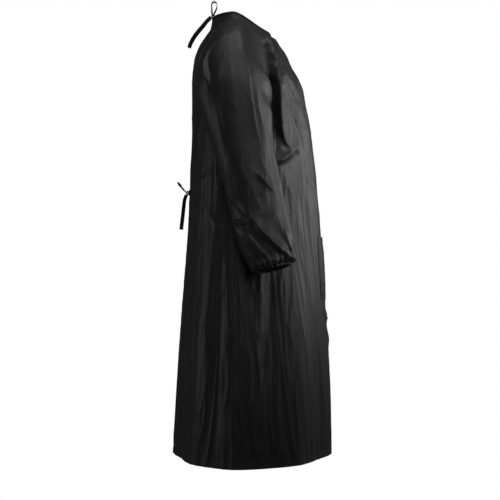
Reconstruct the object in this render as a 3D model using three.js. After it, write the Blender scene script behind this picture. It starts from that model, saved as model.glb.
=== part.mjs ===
// Artist smock: a back-opening, long-sleeved smock of coated cloth, as it hangs when worn.
// Millimetres, +Z up, front towards -Y, the wearer's right at -X.
// The origin is the middle of the neck opening at the height of the neck's side points.
import * as THREE from 'three';

// ---- driving sizes ----
const CLOTH = 1.6;              // thickness of one cloth layer
const SEAM_GAP = 0.35;          // clearance between two pieces that are sewn together
const FRONT_LENGTH = 1200;      // side neck point down to the hem
const UNDERARM_DEPTH = 320;     // side neck point down to the underarm
const CHEST_HALF_WIDTH = 170;   // half the body's width at the underarm
const HEM_HALF_WIDTH = 288;     // half the body's width at the hem
const NECK_HALF_WIDTH = 75;     // half the neck opening's width
const NECK_FRONT_DROP = 44;     // how far the neck edge dips at the centre front
const NECK_BACK_DROP = 4;       // how far it dips at the centre back
const NECK_CENTRE_Y = -8;       // middle of the neck opening, front to back
const NECK_HALF_DEPTH = 78;     // half the neck opening's depth
const BACK_OVERLAP = 60;        // each back panel's reach past the centre back
const NECK_EDGE_GAP = -4;       // the back edges only meet at the neck, this far short of the centre
const LAYER_GAP = 1.0;          // clearance between overlapping cloth layers
const BINDING_PROUD = 1.2;      // how far the binding stands off the cloth on each side
const CUFF_HOLE = 36;           // inside radius of the gathered cuff
const ELASTIC_WIDTH = 8;        // width of the elastic band in each cuff
const ELASTIC_THICKNESS = 1.2;  // thickness of that elastic
const TAPE_WIDTH = 10;          // width of the tie tape
const TAPE_THICKNESS = 1.6;     // thickness of the tie tape
const KNOT_WIDTH = 17;          // width of a tied knot
const KNOT_HEIGHT = 13;         // height of a tied knot
const KNOT_DEPTH = 11;          // front-to-back depth of a tied knot
const POCKET_HALF_ANGLE = 22;   // half the pocket's width, in degrees round the body
const POCKET_TOP = -612;        // height of the pocket's mouth
const POCKET_DEPTH = 172;       // the pocket's height
const POCKET_STANDOFF = 1.0;    // clearance between the pocket and the front

const HEM_Z = -FRONT_LENGTH;
const CHEST_Z = -UNDERARM_DEPTH;
const DEG = Math.PI / 180;

// ---- materials ----
const coatedCloth = new THREE.MeshStandardMaterial({ color: 0x232426, roughness: 0.42, metalness: 0 });
const tapeCloth = new THREE.MeshStandardMaterial({ color: 0x161617, roughness: 0.7, metalness: 0 });
const elasticBand = new THREE.MeshStandardMaterial({ color: 0xe6e2da, roughness: 0.85, metalness: 0 });

const smock = new THREE.Group();

function addPiece(name, geometry, material) {
  const mesh = new THREE.Mesh(geometry, material);
  mesh.name = name;
  smock.add(mesh);
  return mesh;
}

// ---- small maths ----
function clamp01(value) {
  return Math.min(1, Math.max(0, value));
}

function smooth(value) {
  const t = clamp01(value);
  return t * t * (3 - 2 * t);
}

// A smooth curve through a short list of [position, value] pairs, without overshoot.
function curveThrough(pairs) {
  const slopes = pairs.map((pair, i) => {
    if (i === 0 || i === pairs.length - 1) return null;
    const before = (pair[1] - pairs[i - 1][1]) / (pair[0] - pairs[i - 1][0]);
    const after = (pairs[i + 1][1] - pair[1]) / (pairs[i + 1][0] - pair[0]);
    return before * after <= 0 ? 0 : (2 * before * after) / (before + after);
  });
  slopes[0] = (pairs[1][1] - pairs[0][1]) / (pairs[1][0] - pairs[0][0]);
  const last = pairs.length - 1;
  slopes[last] = (pairs[last][1] - pairs[last - 1][1]) / (pairs[last][0] - pairs[last - 1][0]);
  return (x) => {
    if (x <= pairs[0][0]) return pairs[0][1];
    if (x >= pairs[last][0]) return pairs[last][1];
    let i = 0;
    while (x > pairs[i + 1][0]) i += 1;
    const span = pairs[i + 1][0] - pairs[i][0];
    const t = (x - pairs[i][0]) / span;
    const a = 2 * t ** 3 - 3 * t ** 2 + 1;
    const b = t ** 3 - 2 * t ** 2 + t;
    const c = -2 * t ** 3 + 3 * t ** 2;
    const d = t ** 3 - t ** 2;
    return a * pairs[i][1] + b * span * slopes[i] + c * pairs[i + 1][1] + d * span * slopes[i + 1];
  };
}

// ---- the body's shape ----
// Below the underarm: half width, front depth and back depth against the share of the way up
// from the hem (0) to the underarm (1).
const lowerWidth = curveThrough([[0, HEM_HALF_WIDTH], [0.34, HEM_HALF_WIDTH - 42], [0.58, HEM_HALF_WIDTH - 75],
  [0.8, CHEST_HALF_WIDTH + 13], [1, CHEST_HALF_WIDTH]]);
const lowerFront = curveThrough([[0, 257], [0.28, 250], [0.5, 239], [0.69, 228], [0.88, 214], [1, 202]]);
const lowerBack = curveThrough([[0, 176], [0.2, 167], [0.42, 156], [0.69, 139], [0.9, 131.5], [1, 128]]);

// Above the underarm: the same against the share of the way up to the neck edge.
const upperWidth = curveThrough([[0, CHEST_HALF_WIDTH], [0.35, CHEST_HALF_WIDTH - 4],
  [0.6, CHEST_HALF_WIDTH - 12], [0.8, CHEST_HALF_WIDTH - 34], [0.92, NECK_HALF_WIDTH + 27], [1, NECK_HALF_WIDTH]]);
const neckFront = NECK_HALF_DEPTH - NECK_CENTRE_Y;
const neckBack = NECK_HALF_DEPTH + NECK_CENTRE_Y;
const upperFront = curveThrough([[0, 202], [0.22, 189], [0.44, 176], [0.64, 150], [0.85, 122],
  [0.93, neckFront + 14], [1, neckFront]]);
const upperBack = curveThrough([[0, 128], [0.4, 127.5], [0.62, 120], [0.76, 104.5], [0.83, 90], [0.9, 76],
  [1, neckBack]]);

// Height of the neck edge at an angle round it: 0 is the centre front, 180 the centre back.
function neckHeight(angle) {
  const forward = Math.cos(angle * DEG);
  return -NECK_FRONT_DROP * Math.max(0, forward) ** 1.6 - NECK_BACK_DROP * Math.max(0, -forward);
}

// A point of the body's surface: angle 0 is the centre front, 90 the left side, 180 the centre back;
// level runs from 0 at the hem to 1 at the underarm and 2 at the neck edge.
// The section is an ellipse at the hem and a little squarer at the underarm.
function bodyPoint(angle, level) {
  const sine = Math.sin(angle * DEG);
  const cosine = Math.cos(angle * DEG);
  const upper = level > 1;
  const share = upper ? level - 1 : level;
  const squareness = upper ? 0.9 + 0.1 * share : 1 - 0.1 * share;
  const halfWidth = upper ? upperWidth(share) : lowerWidth(share);
  const front = upper ? upperFront(share) : lowerFront(share);
  const back = upper ? upperBack(share) : lowerBack(share);
  const z = upper
    ? CHEST_Z + (neckHeight(angle) - CHEST_Z) * share
    : HEM_Z + (CHEST_Z - HEM_Z) * share;
  const x = halfWidth * Math.sign(sine) * Math.abs(sine) ** squareness;
  const y = (cosine > 0 ? -front : back) * Math.abs(cosine) ** squareness;
  return new THREE.Vector3(x, y, z);
}

// Outward direction of the body's surface, from two short steps along it.
function bodyNormal(angle, level) {
  const step = 0.004;
  const levelA = Math.max(0, level - step);
  const levelB = Math.min(2, level + step);
  const across = bodyPoint(angle + 0.5, level).sub(bodyPoint(angle - 0.5, level));
  const along = bodyPoint(angle, levelB).sub(bodyPoint(angle, levelA));
  return across.cross(along).normalize();
}

// A point on the body, moved outwards by a distance.
function bodyOffset(angle, level, outward) {
  return bodyPoint(angle, level).addScaledVector(bodyNormal(angle, level), outward);
}

// ---- a closed sheet of even thickness ----
// The two grids hold the outer and the inner points by row and column, rows going up and columns
// going from front to left. A ring closes on itself across the columns.
function sheetGeometry(outer, inner, ring) {
  const rows = outer.length;
  const columns = outer[0].length;
  const positions = [];
  const indices = [];
  for (const layer of [outer, inner]) {
    for (const row of layer) {
      for (const point of row) positions.push(point.x, point.y, point.z);
    }
  }
  const at = (layer, row, column) => layer * rows * columns + row * columns + (column % columns);
  const quad = (a, b, c, d) => indices.push(a, b, c, a, c, d);
  const lastColumn = ring ? columns : columns - 1;
  for (let row = 0; row < rows - 1; row += 1) {
    for (let column = 0; column < lastColumn; column += 1) {
      quad(at(0, row, column), at(0, row, column + 1), at(0, row + 1, column + 1), at(0, row + 1, column));
      quad(at(1, row, column), at(1, row + 1, column), at(1, row + 1, column + 1), at(1, row, column + 1));
    }
  }
  for (let column = 0; column < lastColumn; column += 1) {
    const top = rows - 1;
    quad(at(1, 0, column), at(1, 0, column + 1), at(0, 0, column + 1), at(0, 0, column));
    quad(at(0, top, column), at(0, top, column + 1), at(1, top, column + 1), at(1, top, column));
  }
  if (!ring) {
    const side = columns - 1;
    for (let row = 0; row < rows - 1; row += 1) {
      quad(at(0, row, 0), at(0, row + 1, 0), at(1, row + 1, 0), at(1, row, 0));
      quad(at(0, row, side), at(1, row, side), at(1, row + 1, side), at(0, row + 1, side));
    }
  }
  const geometry = new THREE.BufferGeometry();
  geometry.setAttribute('position', new THREE.Float32BufferAttribute(positions, 3));
  geometry.setIndex(indices);
  geometry.computeVertexNormals();
  return geometry;
}

// A cloth panel laid on the body between two edges. Each row has its level and the angles of
// its two edges; lift(angle, level) moves the outer face outwards.
function bodyPanel(rowList, columns, lift) {
  const outer = [];
  const inner = [];
  for (const row of rowList) {
    const outerRow = [];
    const innerRow = [];
    for (let i = 0; i <= columns; i += 1) {
      const angle = row.from + ((row.to - row.from) * i) / columns;
      const out = lift(angle, row.level);
      outerRow.push(bodyOffset(angle, row.level, out));
      innerRow.push(bodyOffset(angle, row.level, out - CLOTH));
    }
    outer.push(outerRow);
    inner.push(innerRow);
  }
  return sheetGeometry(outer, inner, false);
}

// ---- the raglan edges ----
// Angle of the front and back raglan edges from the centre line, against the share of the way
// up from the underarm (0) to the neck (1).
const frontRaglan = curveThrough([[0, 90], [0.04, 84], [0.12, 77], [0.3, 69], [0.55, 59], [0.8, 50], [1, 42]]);
const backRaglan = curveThrough([[0, 90], [0.04, 84], [0.12, 77], [0.3, 69], [0.55, 58], [0.8, 47], [1, 38]]);

// Turns a length along the body's surface into degrees at that level.
function degreesFor(length, angle, level) {
  return length / bodyPoint(angle + 0.5, level).distanceTo(bodyPoint(angle - 0.5, level));
}

const LOWER_LEVELS = [0, 0.04, 0.12, 0.2, 0.28, 0.36, 0.44, 0.52, 0.6, 0.68, 0.76, 0.84, 0.92, 0.98];
const UPPER_SHARES = [0, 0.04, 0.12, 0.21, 0.3, 0.4, 0.5, 0.6, 0.68, 0.76, 0.83, 0.9, 0.965];

// The rows of a panel: edge(level, share) gives the angles of its two edges.
function panelRows(edge) {
  const rows = LOWER_LEVELS.map((level) => ({ level, ...edge(level, null) }));
  for (const share of UPPER_SHARES) rows.push({ level: 1 + share, ...edge(1 + share, share) });
  return rows;
}

// ---- front panel ----
const SIDE_CLEARANCE = SEAM_GAP / 2;
const RAGLAN_CLEARANCE = 1.1;     // the panels stop this far short of the raglan line
const frontRows = panelRows((level, share) => {
  const side = share === null ? 90 : frontRaglan(share);
  const gap = share === null || share === 0 ? SIDE_CLEARANCE : RAGLAN_CLEARANCE;
  const reach = side - degreesFor(gap, side, level);
  return { from: -reach, to: reach };
});
addPiece('front_panel', bodyPanel(frontRows, 26, () => 0), coatedCloth);

// ---- back panels ----
// The right panel is the outer layer; the left one dips under it near the centre back.
const DIP = CLOTH + LAYER_GAP;
function overlapReach(level) {
  const length = level > 1 ? BACK_OVERLAP + (NECK_EDGE_GAP - BACK_OVERLAP) * smooth(level - 1) : BACK_OVERLAP;
  return degreesFor(length, 180, level);
}

function backEdge(level, share) {
  const side = 180 - (share === null ? 90 : backRaglan(share));
  const gap = share === null || share === 0 ? SIDE_CLEARANCE : RAGLAN_CLEARANCE;
  return side + degreesFor(gap, side, level);
}

const leftBackRows = panelRows((level, share) => ({
  from: backEdge(level, share),
  to: 180 + overlapReach(level),
}));
const rightBackRows = panelRows((level, share) => ({
  from: 180 - overlapReach(level),
  to: 360 - backEdge(level, share),
}));
function leftDip(angle, level) {
  const start = 180 - overlapReach(level) - degreesFor(26, 180, level);
  const end = 180 - overlapReach(level) - degreesFor(4, 180, level);
  return -DIP * smooth((angle - start) / (end - start));
}
addPiece('left_back_panel', bodyPanel(leftBackRows, 18, leftDip), coatedCloth);
addPiece('right_back_panel', bodyPanel(rightBackRows, 18, () => 0), coatedCloth);

// ---- front pocket ----
// A patch pocket on the centre front with round lower corners.
function pocketGeometry() {
  const rows = 9;
  const columns = 14;
  const outer = [];
  const inner = [];
  for (let r = 0; r <= rows; r += 1) {
    const share = r / rows;
    const z = POCKET_TOP - POCKET_DEPTH * (1 - share);
    const level = (z - HEM_Z) / (CHEST_Z - HEM_Z);
    const corner = 1 - 0.16 * (1 - smooth(share / 0.18));
    const outerRow = [];
    const innerRow = [];
    for (let c = 0; c <= columns; c += 1) {
      const across = (2 * c) / columns - 1;
      const angle = across * POCKET_HALF_ANGLE * corner;
      const puff = (5 * Math.sin(Math.PI * share) + 2.5 * share) * (1 - across * across);
      outerRow.push(bodyOffset(angle, level, POCKET_STANDOFF + CLOTH + puff));
      innerRow.push(bodyOffset(angle, level, POCKET_STANDOFF + puff));
    }
    outer.push(outerRow);
    inner.push(innerRow);
  }
  return sheetGeometry(outer, inner, false);
}
addPiece('front_pocket', pocketGeometry(), coatedCloth);

// ---- sleeves ----
// Each station of the sleeve is a ring round the arm: the height of its middle, its middle's
// distance from the body's centre plane, its middle front to back, its half width across the
// body, its half depth front to back, and how far its outer side is tipped up.
const CUFF_SLOPE = 0.15;          // how far the cuff's outer side is tipped up
const GATHERED = CUFF_HOLE + 4;   // radius of the sleeve where it meets the cuff
const SLEEVE_RINGS = [
  { z: -300, x: 239, y: 0, wide: 60.5, deep: 88, tip: 32, lean: 0.1 },
  { z: -345, x: 242, y: -9, wide: 60, deep: 81, tip: 20, lean: 0.12 },
  { z: -392, x: 245.5, y: -19, wide: 59, deep: 75, tip: 13, lean: 0.15 },
  { z: -430, x: 249.5, y: -27, wide: 58.5, deep: 71.5, tip: 10, lean: 0.18 },
  { z: -485, x: 256.5, y: -39.5, wide: 58, deep: 69, tip: 9, lean: 0.22 },
  { z: -540, x: 264.5, y: -52, wide: 57.3, deep: 68.5, tip: 8.6, lean: 0.25 },
  { z: -585, x: 271, y: -63, wide: 56.8, deep: 67.5, tip: 8.5, lean: 0.26 },
  { z: -625, x: 277.5, y: -74, wide: 56, deep: 65.5, tip: 8.4, lean: 0.26 },
  { z: -652, x: 281.5, y: -82, wide: 54, deep: 62, tip: 8, lean: 0.26 },
  { z: -672, x: 284.5, y: -88, wide: 50, deep: 56, tip: 7.5, lean: 0.26 },
  { z: -683, x: 286, y: -91, wide: GATHERED, deep: GATHERED + 1, tip: CUFF_SLOPE * GATHERED, lean: 0.26 },
];
const RING_SIDES = 24;            // flat sides of each ring
const ARMHOLE_END = 2;            // the ring where the cloth that bends below the armhole ends
const UPPER_END = 3;              // the ring where the upper arm's stretch ends
const ELBOW_END = 5;              // the ring where the elbow's stretch ends
const PART_GAP = 0.4;             // half the clearance between two stretches of a sleeve

// A point of a sleeve ring: turn 0 is the outer side, 90 the front, 180 the body side, -90 the back.
function ringPoint(ring, turn, inset) {
  const cosine = Math.cos(turn * DEG);
  const sine = Math.sin(turn * DEG);
  const x = ring.x + (ring.wide - inset) * cosine;
  const y = ring.y - (ring.deep - inset) * sine;
  const z = ring.z + ring.tip * cosine + ring.lean * (ring.deep - inset) * sine;
  return new THREE.Vector3(x, y, z);
}

function blendRings(a, b, share) {
  const ring = {};
  for (const key of Object.keys(a)) ring[key] = a[key] + (b[key] - a[key]) * share;
  return ring;
}

// One row of points round the arm: from the body side by the front, the outer side and the back.
function ringRow(ring, inset) {
  const row = [];
  for (let i = 0; i < RING_SIDES; i += 1) row.push(ringPoint(ring, 180 - (360 * i) / RING_SIDES, inset));
  return row;
}

// A tube through some sleeve rings, lowest ring first, trimmed a little at each end.
function sleeveTube(rings, side) {
  const upward = rings.slice().reverse();
  const last = upward.length - 1;
  upward[0] = blendRings(upward[0], upward[1], PART_GAP / (upward[1].z - upward[0].z));
  upward[last] = blendRings(upward[last], upward[last - 1], PART_GAP / (upward[last].z - upward[last - 1].z));
  const outer = upward.map((ring) => ringRow(ring, 0));
  const inner = upward.map((ring) => ringRow(ring, CLOTH));
  return mirrored(outer, inner, side, true);
}

// Turns two grids made for the left side (+X) into a sheet on the wanted side.
function mirrored(outer, inner, side, ring) {
  const place = (grid) => grid.map((row) => {
    const points = row.map((point) => new THREE.Vector3(point.x * side, point.y, point.z));
    return side > 0 ? points : points.reverse();
  });
  return sheetGeometry(place(outer), place(inner), ring);
}

// The sleeve head runs from the neck edge over the shoulder to the first ring.
// Its top line goes from the side neck point over the shoulder and down the outer arm.
const topLineX = curveThrough([[0, 298], [0.25, 283], [0.5, 252], [0.68, 212], [0.84, 146],
  [1, NECK_HALF_WIDTH]]);
const topLineZ = curveThrough([[0, -216], [0.25, -158], [0.5, -101], [0.68, -66], [0.84, -33], [1, 0]]);
const topLineY = curveThrough([[0, 8], [0.3, 8], [0.7, 4], [1, NECK_CENTRE_Y + 3]]);
const HEAD_SHARES = [0.004, 0.05, 0.12, 0.22, 0.32, 0.42, 0.52, 0.62, 0.71, 0.79, 0.86, 0.92, 0.965];
const HEAD_COLUMNS = 22;

// How far the cloth stands forward and back of the top line and of the seam before it turns over,
// and the direction in which it leaves the seam.
const headForward = curveThrough([[0, 108], [0.15, 94], [0.3, 74], [0.6, 55], [0.85, 38], [1, 26]]);
const headBackward = curveThrough([[0, 130], [0.3, 122], [0.6, 88], [0.85, 44], [1, 24]]);
const seamReach = curveThrough([[0, 1], [0.3, 0.8], [0.6, 0.6], [1, 0.8]]);
const leavingOut = curveThrough([[0, 0], [0.3, 0.5], [0.6, 0.85], [1, 0.62]]);
const leavingAhead = curveThrough([[0, 1], [0.12, 0.84], [0.28, 0.36], [0.6, -0.05], [1, -0.7]]);
const leavingBehind = curveThrough([[0, 1], [0.3, 0.78], [0.6, 0.25], [1, -0.7]]);
const leavingUp = curveThrough([[0, 0], [0.3, 0.3], [0.6, 0.5], [1, 0.3]]);

// One half of the arch: from the raglan seam over to the top line. forward is -1 or 1.
function headHalf(share, forward) {
  const level = 1 + share;
  const edge = forward < 0 ? frontRaglan(share) : 180 - backRaglan(share);
  const angle = edge - forward * degreesFor(SEAM_GAP, 80, level);
  const foot = bodyPoint(angle, level);
  const straight = new THREE.Vector3(0, forward, 0);
  const away = forward < 0 ? leavingAhead(share) : leavingBehind(share);
  const leaving = new THREE.Vector3(leavingOut(share), forward * away, leavingUp(share));
  leaving.normalize();
  const top = new THREE.Vector3(topLineX(share), topLineY(share), topLineZ(share));
  const reach = forward < 0 ? headForward(share) : headBackward(share);
  const topHandle = top.clone().addScaledVector(straight, reach);
  const footHandle = foot.clone().addScaledVector(leaving, reach * seamReach(share));
  return new THREE.CubicBezierCurve3(foot, footHandle, topHandle, top);
}

// Near the neck the head lies on the body's own surface, so that the neck edge is one smooth ring.
function headPoint(share, across) {
  const level = 1 + share;
  const point = across < 0.5
    ? headHalf(share, -1).getPoint(2 * across)
    : headHalf(share, 1).getPoint(2 - 2 * across);
  const frontAngle = frontRaglan(share) + degreesFor(SEAM_GAP, 80, level);
  const backAngle = 180 - backRaglan(share) - degreesFor(SEAM_GAP, 100, level);
  const onBody = bodyPoint(frontAngle + (backAngle - frontAngle) * across, level);
  return point.lerp(onBody, smooth((share - 0.78) / 0.18));
}

function sleeveHead(side) {
  const outer = [];
  for (const share of HEAD_SHARES) {
    const row = [];
    for (let i = 0; i <= HEAD_COLUMNS; i += 1) row.push(headPoint(share, i / HEAD_COLUMNS));
    outer.push(row);
  }
  const inner = offsetGrid(outer, -CLOTH);
  return mirrored(outer, inner, side, false);
}

// Moves each point of a grid along the surface's own direction.
function offsetGrid(grid, distance) {
  return grid.map((row, r) => row.map((point, c) => {
    const up = grid[Math.min(r + 1, grid.length - 1)][c].clone().sub(grid[Math.max(r - 1, 0)][c]);
    const over = row[Math.min(c + 1, row.length - 1)].clone().sub(row[Math.max(c - 1, 0)]);
    const normal = over.cross(up).normalize();
    return point.clone().addScaledVector(normal, distance);
  }));
}

// The armhole stretch starts as the head's lowest arch, closed at the underarm and moved down the arm.
const UNDERARM_CLEARANCE = 0.9;
function armholeSleeve(side) {
  const rings = SLEEVE_RINGS.slice(0, ARMHOLE_END + 1).reverse();
  rings[0] = blendRings(rings[0], rings[1], PART_GAP / (rings[1].z - rings[0].z));
  const outer = rings.map((ring) => ringRow(ring, 0));
  const inner = rings.map((ring) => ringRow(ring, CLOTH));
  const topRow = [];
  for (let i = 0; i < RING_SIDES; i += 1) topRow.push(headPoint(0, i / RING_SIDES));
  topRow[0].copy(bodyPoint(90, 1));
  topRow[0].x += UNDERARM_CLEARANCE;
  const next = outer[outer.length - 1];
  const shifted = topRow.map((point, i) => {
    const down = next[i].clone().sub(point).normalize();
    return point.clone().addScaledVector(down, PART_GAP);
  });
  const middle = new THREE.Vector3();
  for (const point of shifted) middle.addScaledVector(point, 1 / RING_SIDES);
  outer.push(shifted);
  inner.push(shifted.map((point) => {
    const inward = middle.clone().sub(point).normalize();
    return point.clone().addScaledVector(inward, CLOTH);
  }));
  return mirrored(outer, inner, side, true);
}

// ---- cuffs ----
// The end of the sleeve is folded round an elastic band: a channel, open at its top where it is
// stitched, with the band inside.
const LAST_RING = SLEEVE_RINGS[SLEEVE_RINGS.length - 1];
const CUFF_AXIS = new THREE.Vector3(CUFF_SLOPE, -0.26, -1).normalize();
const CUFF_OUT = new THREE.Vector3(1, 0, CUFF_AXIS.x / -CUFF_AXIS.z).normalize();
const CUFF_FRONT = CUFF_AXIS.clone().cross(CUFF_OUT).normalize();
const CHANNEL_HALF_WIDTH = 3.2;
const CHANNEL_HEIGHT = ELASTIC_WIDTH + 3;
const CUFF_TOP = new THREE.Vector3(LAST_RING.x, LAST_RING.y, LAST_RING.z).addScaledVector(CUFF_AXIS, 0.2);

// A point round the cuff: turn as on the sleeve, distance from the axis, distance down the axis.
function cuffPoint(turn, radius, down) {
  return CUFF_TOP.clone()
    .addScaledVector(CUFF_OUT, radius * Math.cos(turn * DEG))
    .addScaledVector(CUFF_FRONT, radius * Math.sin(turn * DEG))
    .addScaledVector(CUFF_AXIS, down);
}

// Sweeps an open line of [radius, down] pairs round the cuff as a wall of even thickness.
function cuffWall(pairsOut, pairsIn, side) {
  const grid = (pairs) => pairs.map(([radius, down]) => {
    const row = [];
    for (let i = 0; i < RING_SIDES; i += 1) row.push(cuffPoint(180 - (360 * i) / RING_SIDES, radius, down));
    return row;
  });
  return mirrored(grid(pairsOut), grid(pairsIn), side, true);
}

// The channel's section: up the inner leg, round the fold at the bottom and up the outer leg.
function channelLine(halfWidth, bottom) {
  const middle = CUFF_HOLE + CHANNEL_HALF_WIDTH;
  const line = [[middle - halfWidth, 0], [middle - halfWidth, bottom - halfWidth]];
  for (let i = 1; i < 4; i += 1) {
    const turn = (180 * i * DEG) / 4;
    line.push([middle - halfWidth * Math.cos(turn), bottom - halfWidth + halfWidth * Math.sin(turn)]);
  }
  line.push([middle + halfWidth, bottom - halfWidth], [middle + halfWidth, 0]);
  return line;
}

function cuffCasing(side) {
  const bottom = CHANNEL_HEIGHT + CLOTH;
  const outside = channelLine(CHANNEL_HALF_WIDTH, bottom);
  const inside = channelLine(CHANNEL_HALF_WIDTH - CLOTH, bottom - CLOTH);
  return cuffWall(outside, inside, side);
}

function cuffElastic(side) {
  const middle = CUFF_HOLE + CHANNEL_HALF_WIDTH;
  const bottom = CHANNEL_HEIGHT - 0.4 - CHANNEL_HALF_WIDTH + CLOTH;
  const band = (radius) => [[radius, bottom], [radius, bottom - ELASTIC_WIDTH]];
  return cuffWall(band(middle + ELASTIC_THICKNESS / 2), band(middle - ELASTIC_THICKNESS / 2), side);
}

for (const [sideName, side] of [['right', -1], ['left', 1]]) {
  addPiece(`${sideName}_sleeve_head`, sleeveHead(side), coatedCloth);
  addPiece(`${sideName}_armhole_sleeve`, armholeSleeve(side), coatedCloth);
  const stretch = (first, last) => sleeveTube(SLEEVE_RINGS.slice(first, last + 1), side);
  addPiece(`${sideName}_upper_sleeve`, stretch(ARMHOLE_END, UPPER_END), coatedCloth);
  addPiece(`${sideName}_elbow_sleeve`, stretch(UPPER_END, ELBOW_END), coatedCloth);
  addPiece(`${sideName}_lower_sleeve`, stretch(ELBOW_END, SLEEVE_RINGS.length - 1), coatedCloth);
  addPiece(`${sideName}_cuff_casing`, cuffCasing(side), coatedCloth);
  addPiece(`${sideName}_cuff_elastic`, cuffElastic(side), elasticBand);
}

// ---- neck binding ----
// A folded tape over the neck edge, open at the centre back.
function bindingGeometry() {
  const columns = 40;
  const shares = [0.968, 0.984, 1];
  const start = 180 + degreesFor(-NECK_EDGE_GAP, 180, 2);
  const sweep = 360 - 2 * (start - 180);
  const outer = [];
  const inner = [];
  for (const share of shares) {
    const outerRow = [];
    const innerRow = [];
    for (let i = 0; i <= columns; i += 1) {
      const angle = start - 360 + (sweep * i) / columns;
      outerRow.push(bodyOffset(angle, 1 + share, BINDING_PROUD));
      innerRow.push(bodyOffset(angle, 1 + share, -CLOTH - BINDING_PROUD));
    }
    outer.push(outerRow);
    inner.push(innerRow);
  }
  return sheetGeometry(outer, inner, false);
}
addPiece('neck_binding', bindingGeometry(), tapeCloth);

// ---- ties ----
// Level on the body for a height below the underarm.
function levelAt(z) {
  return (z - HEM_Z) / (CHEST_Z - HEM_Z);
}

function knotGeometry(centre) {
  const geometry = new THREE.SphereGeometry(0.5, 14, 9);
  geometry.scale(KNOT_WIDTH, KNOT_DEPTH, KNOT_HEIGHT);
  geometry.translate(centre.x, centre.y, centre.z);
  return geometry;
}

// The neck knot sits on the two back ends of the binding.
const KNOT_SEAT = (KNOT_HEIGHT / 2) * Math.sqrt(1 - (2 * NECK_EDGE_GAP / KNOT_WIDTH) ** 2) + SEAM_GAP;
const NECK_KNOT = new THREE.Vector3(0, neckBack, neckHeight(180) + KNOT_SEAT);
const WAIST_Z = -489;
const WAIST_SURFACE = bodyPoint(180, levelAt(WAIST_Z)).y;
const WAIST_KNOT = new THREE.Vector3(0, WAIST_SURFACE + SEAM_GAP + KNOT_DEPTH / 2, WAIST_Z);
addPiece('neck_knot', knotGeometry(NECK_KNOT), tapeCloth);
addPiece('waist_knot', knotGeometry(WAIST_KNOT), tapeCloth);

// The part of each waist tie that is sewn to its back panel and runs to the knot.
const TIE_SEWN_AT = 100;
function waistTie(side) {
  const level = levelAt(WAIST_Z);
  const half = TAPE_WIDTH / 2 / (CHEST_Z - HEM_Z);
  const from = degreesFor(TIE_SEWN_AT, 180, level);
  const to = degreesFor(KNOT_WIDTH / 2 + SEAM_GAP, 180, level);
  const columns = 9;
  const outer = [];
  const inner = [];
  for (const rowLevel of [level - half, level + half]) {
    const outerRow = [];
    const innerRow = [];
    for (let i = 0; i <= columns; i += 1) {
      const share = side > 0 ? i / columns : 1 - i / columns;
      const angle = 180 - side * (from + (to - from) * share);
      outerRow.push(bodyOffset(angle, rowLevel, SEAM_GAP + TAPE_THICKNESS));
      innerRow.push(bodyOffset(angle, rowLevel, SEAM_GAP));
    }
    outer.push(outerRow);
    inner.push(innerRow);
  }
  return sheetGeometry(outer, inner, false);
}
addPiece('right_waist_tie', waistTie(-1), tapeCloth);
addPiece('left_waist_tie', waistTie(1), tapeCloth);

// A flat tape along a route, as a tube with eight sides.
function tapeTube(route, acrossWidth) {
  const curve = new THREE.CatmullRomCurve3(route, false, 'centripetal');
  const half = TAPE_WIDTH / 2;
  const thin = TAPE_THICKNESS / 2;
  const corner = 0.5;
  const outline = [[half, corner - thin], [half, thin - corner], [half - corner, thin], [corner - half, thin],
    [-half, thin - corner], [-half, corner - thin], [corner - half, -thin], [half - corner, -thin]];
  const turned = outline.map(([w, t]) => (acrossWidth ? new THREE.Vector2(w, t) : new THREE.Vector2(t, w)));
  const shape = new THREE.Shape(turned);
  return new THREE.ExtrudeGeometry(shape, { steps: 26, bevelEnabled: false, extrudePath: curve });
}

function points(list) {
  return list.map(([x, y, z]) => new THREE.Vector3(x, y, z));
}

// The loops stand up from the neck knot and out from the waist knot; the tails hang.
// Each route is chosen by hand for the right side (-X); the left one mirrors it, a little shorter.
const NECK_LOOP = points([[-6, 67.6, 8.6], [-6.2, 65.4, 13], [-6.6, 62.6, 18.6], [-7, 60.2, 24.8], [-7.2, 58.8, 31],
  [-7.4, 59.4, 37], [-7.6, 62.2, 41.4], [-7.8, 66, 43.2], [-7.8, 69.8, 41.6], [-7.8, 72.4, 37.2], [-7.6, 73.4, 31],
  [-7.2, 73.2, 24.6], [-6.8, 72.8, 18.6], [-6.4, 72.6, 13], [-6, 72.6, 8.8]]);
const NECK_TAIL = points([[-5, 75.8, 0.2], [-5.4, 79.6, -3.6], [-6, 84.6, -8.4], [-6.6, 89.2, -13.6],
  [-7, 94, -19.6], [-7.4, 99, -25.8], [-7.6, 104.2, -32], [-7.8, 109.6, -38.2], [-7.8, 115, -44.8], [-7.6, 120, -51.6],
  [-7.4, 124.4, -58.4], [-7.2, 128.2, -65], [-7, 131.4, -71.4], [-6.8, 134, -77.8], [-6.6, 136, -84.6]]);
const WAIST_LOOP = points([[-7.8, 143.6, -487.2], [-12.4, 145.6, -484.8], [-17.4, 148.4, -481.4], [-22, 151.6, -477.6],
  [-26.4, 155.2, -473.4], [-30, 158.8, -469.4], [-32, 162, -466.4], [-31.6, 164.6, -464.6], [-28.4, 165.2, -465],
  [-24, 163.6, -467.4], [-19.6, 160.6, -471], [-15.6, 157, -475.2], [-12.2, 153.4, -479.4], [-9.4, 150.6, -482.6],
  [-7, 149.2, -484.4]]);
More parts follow.
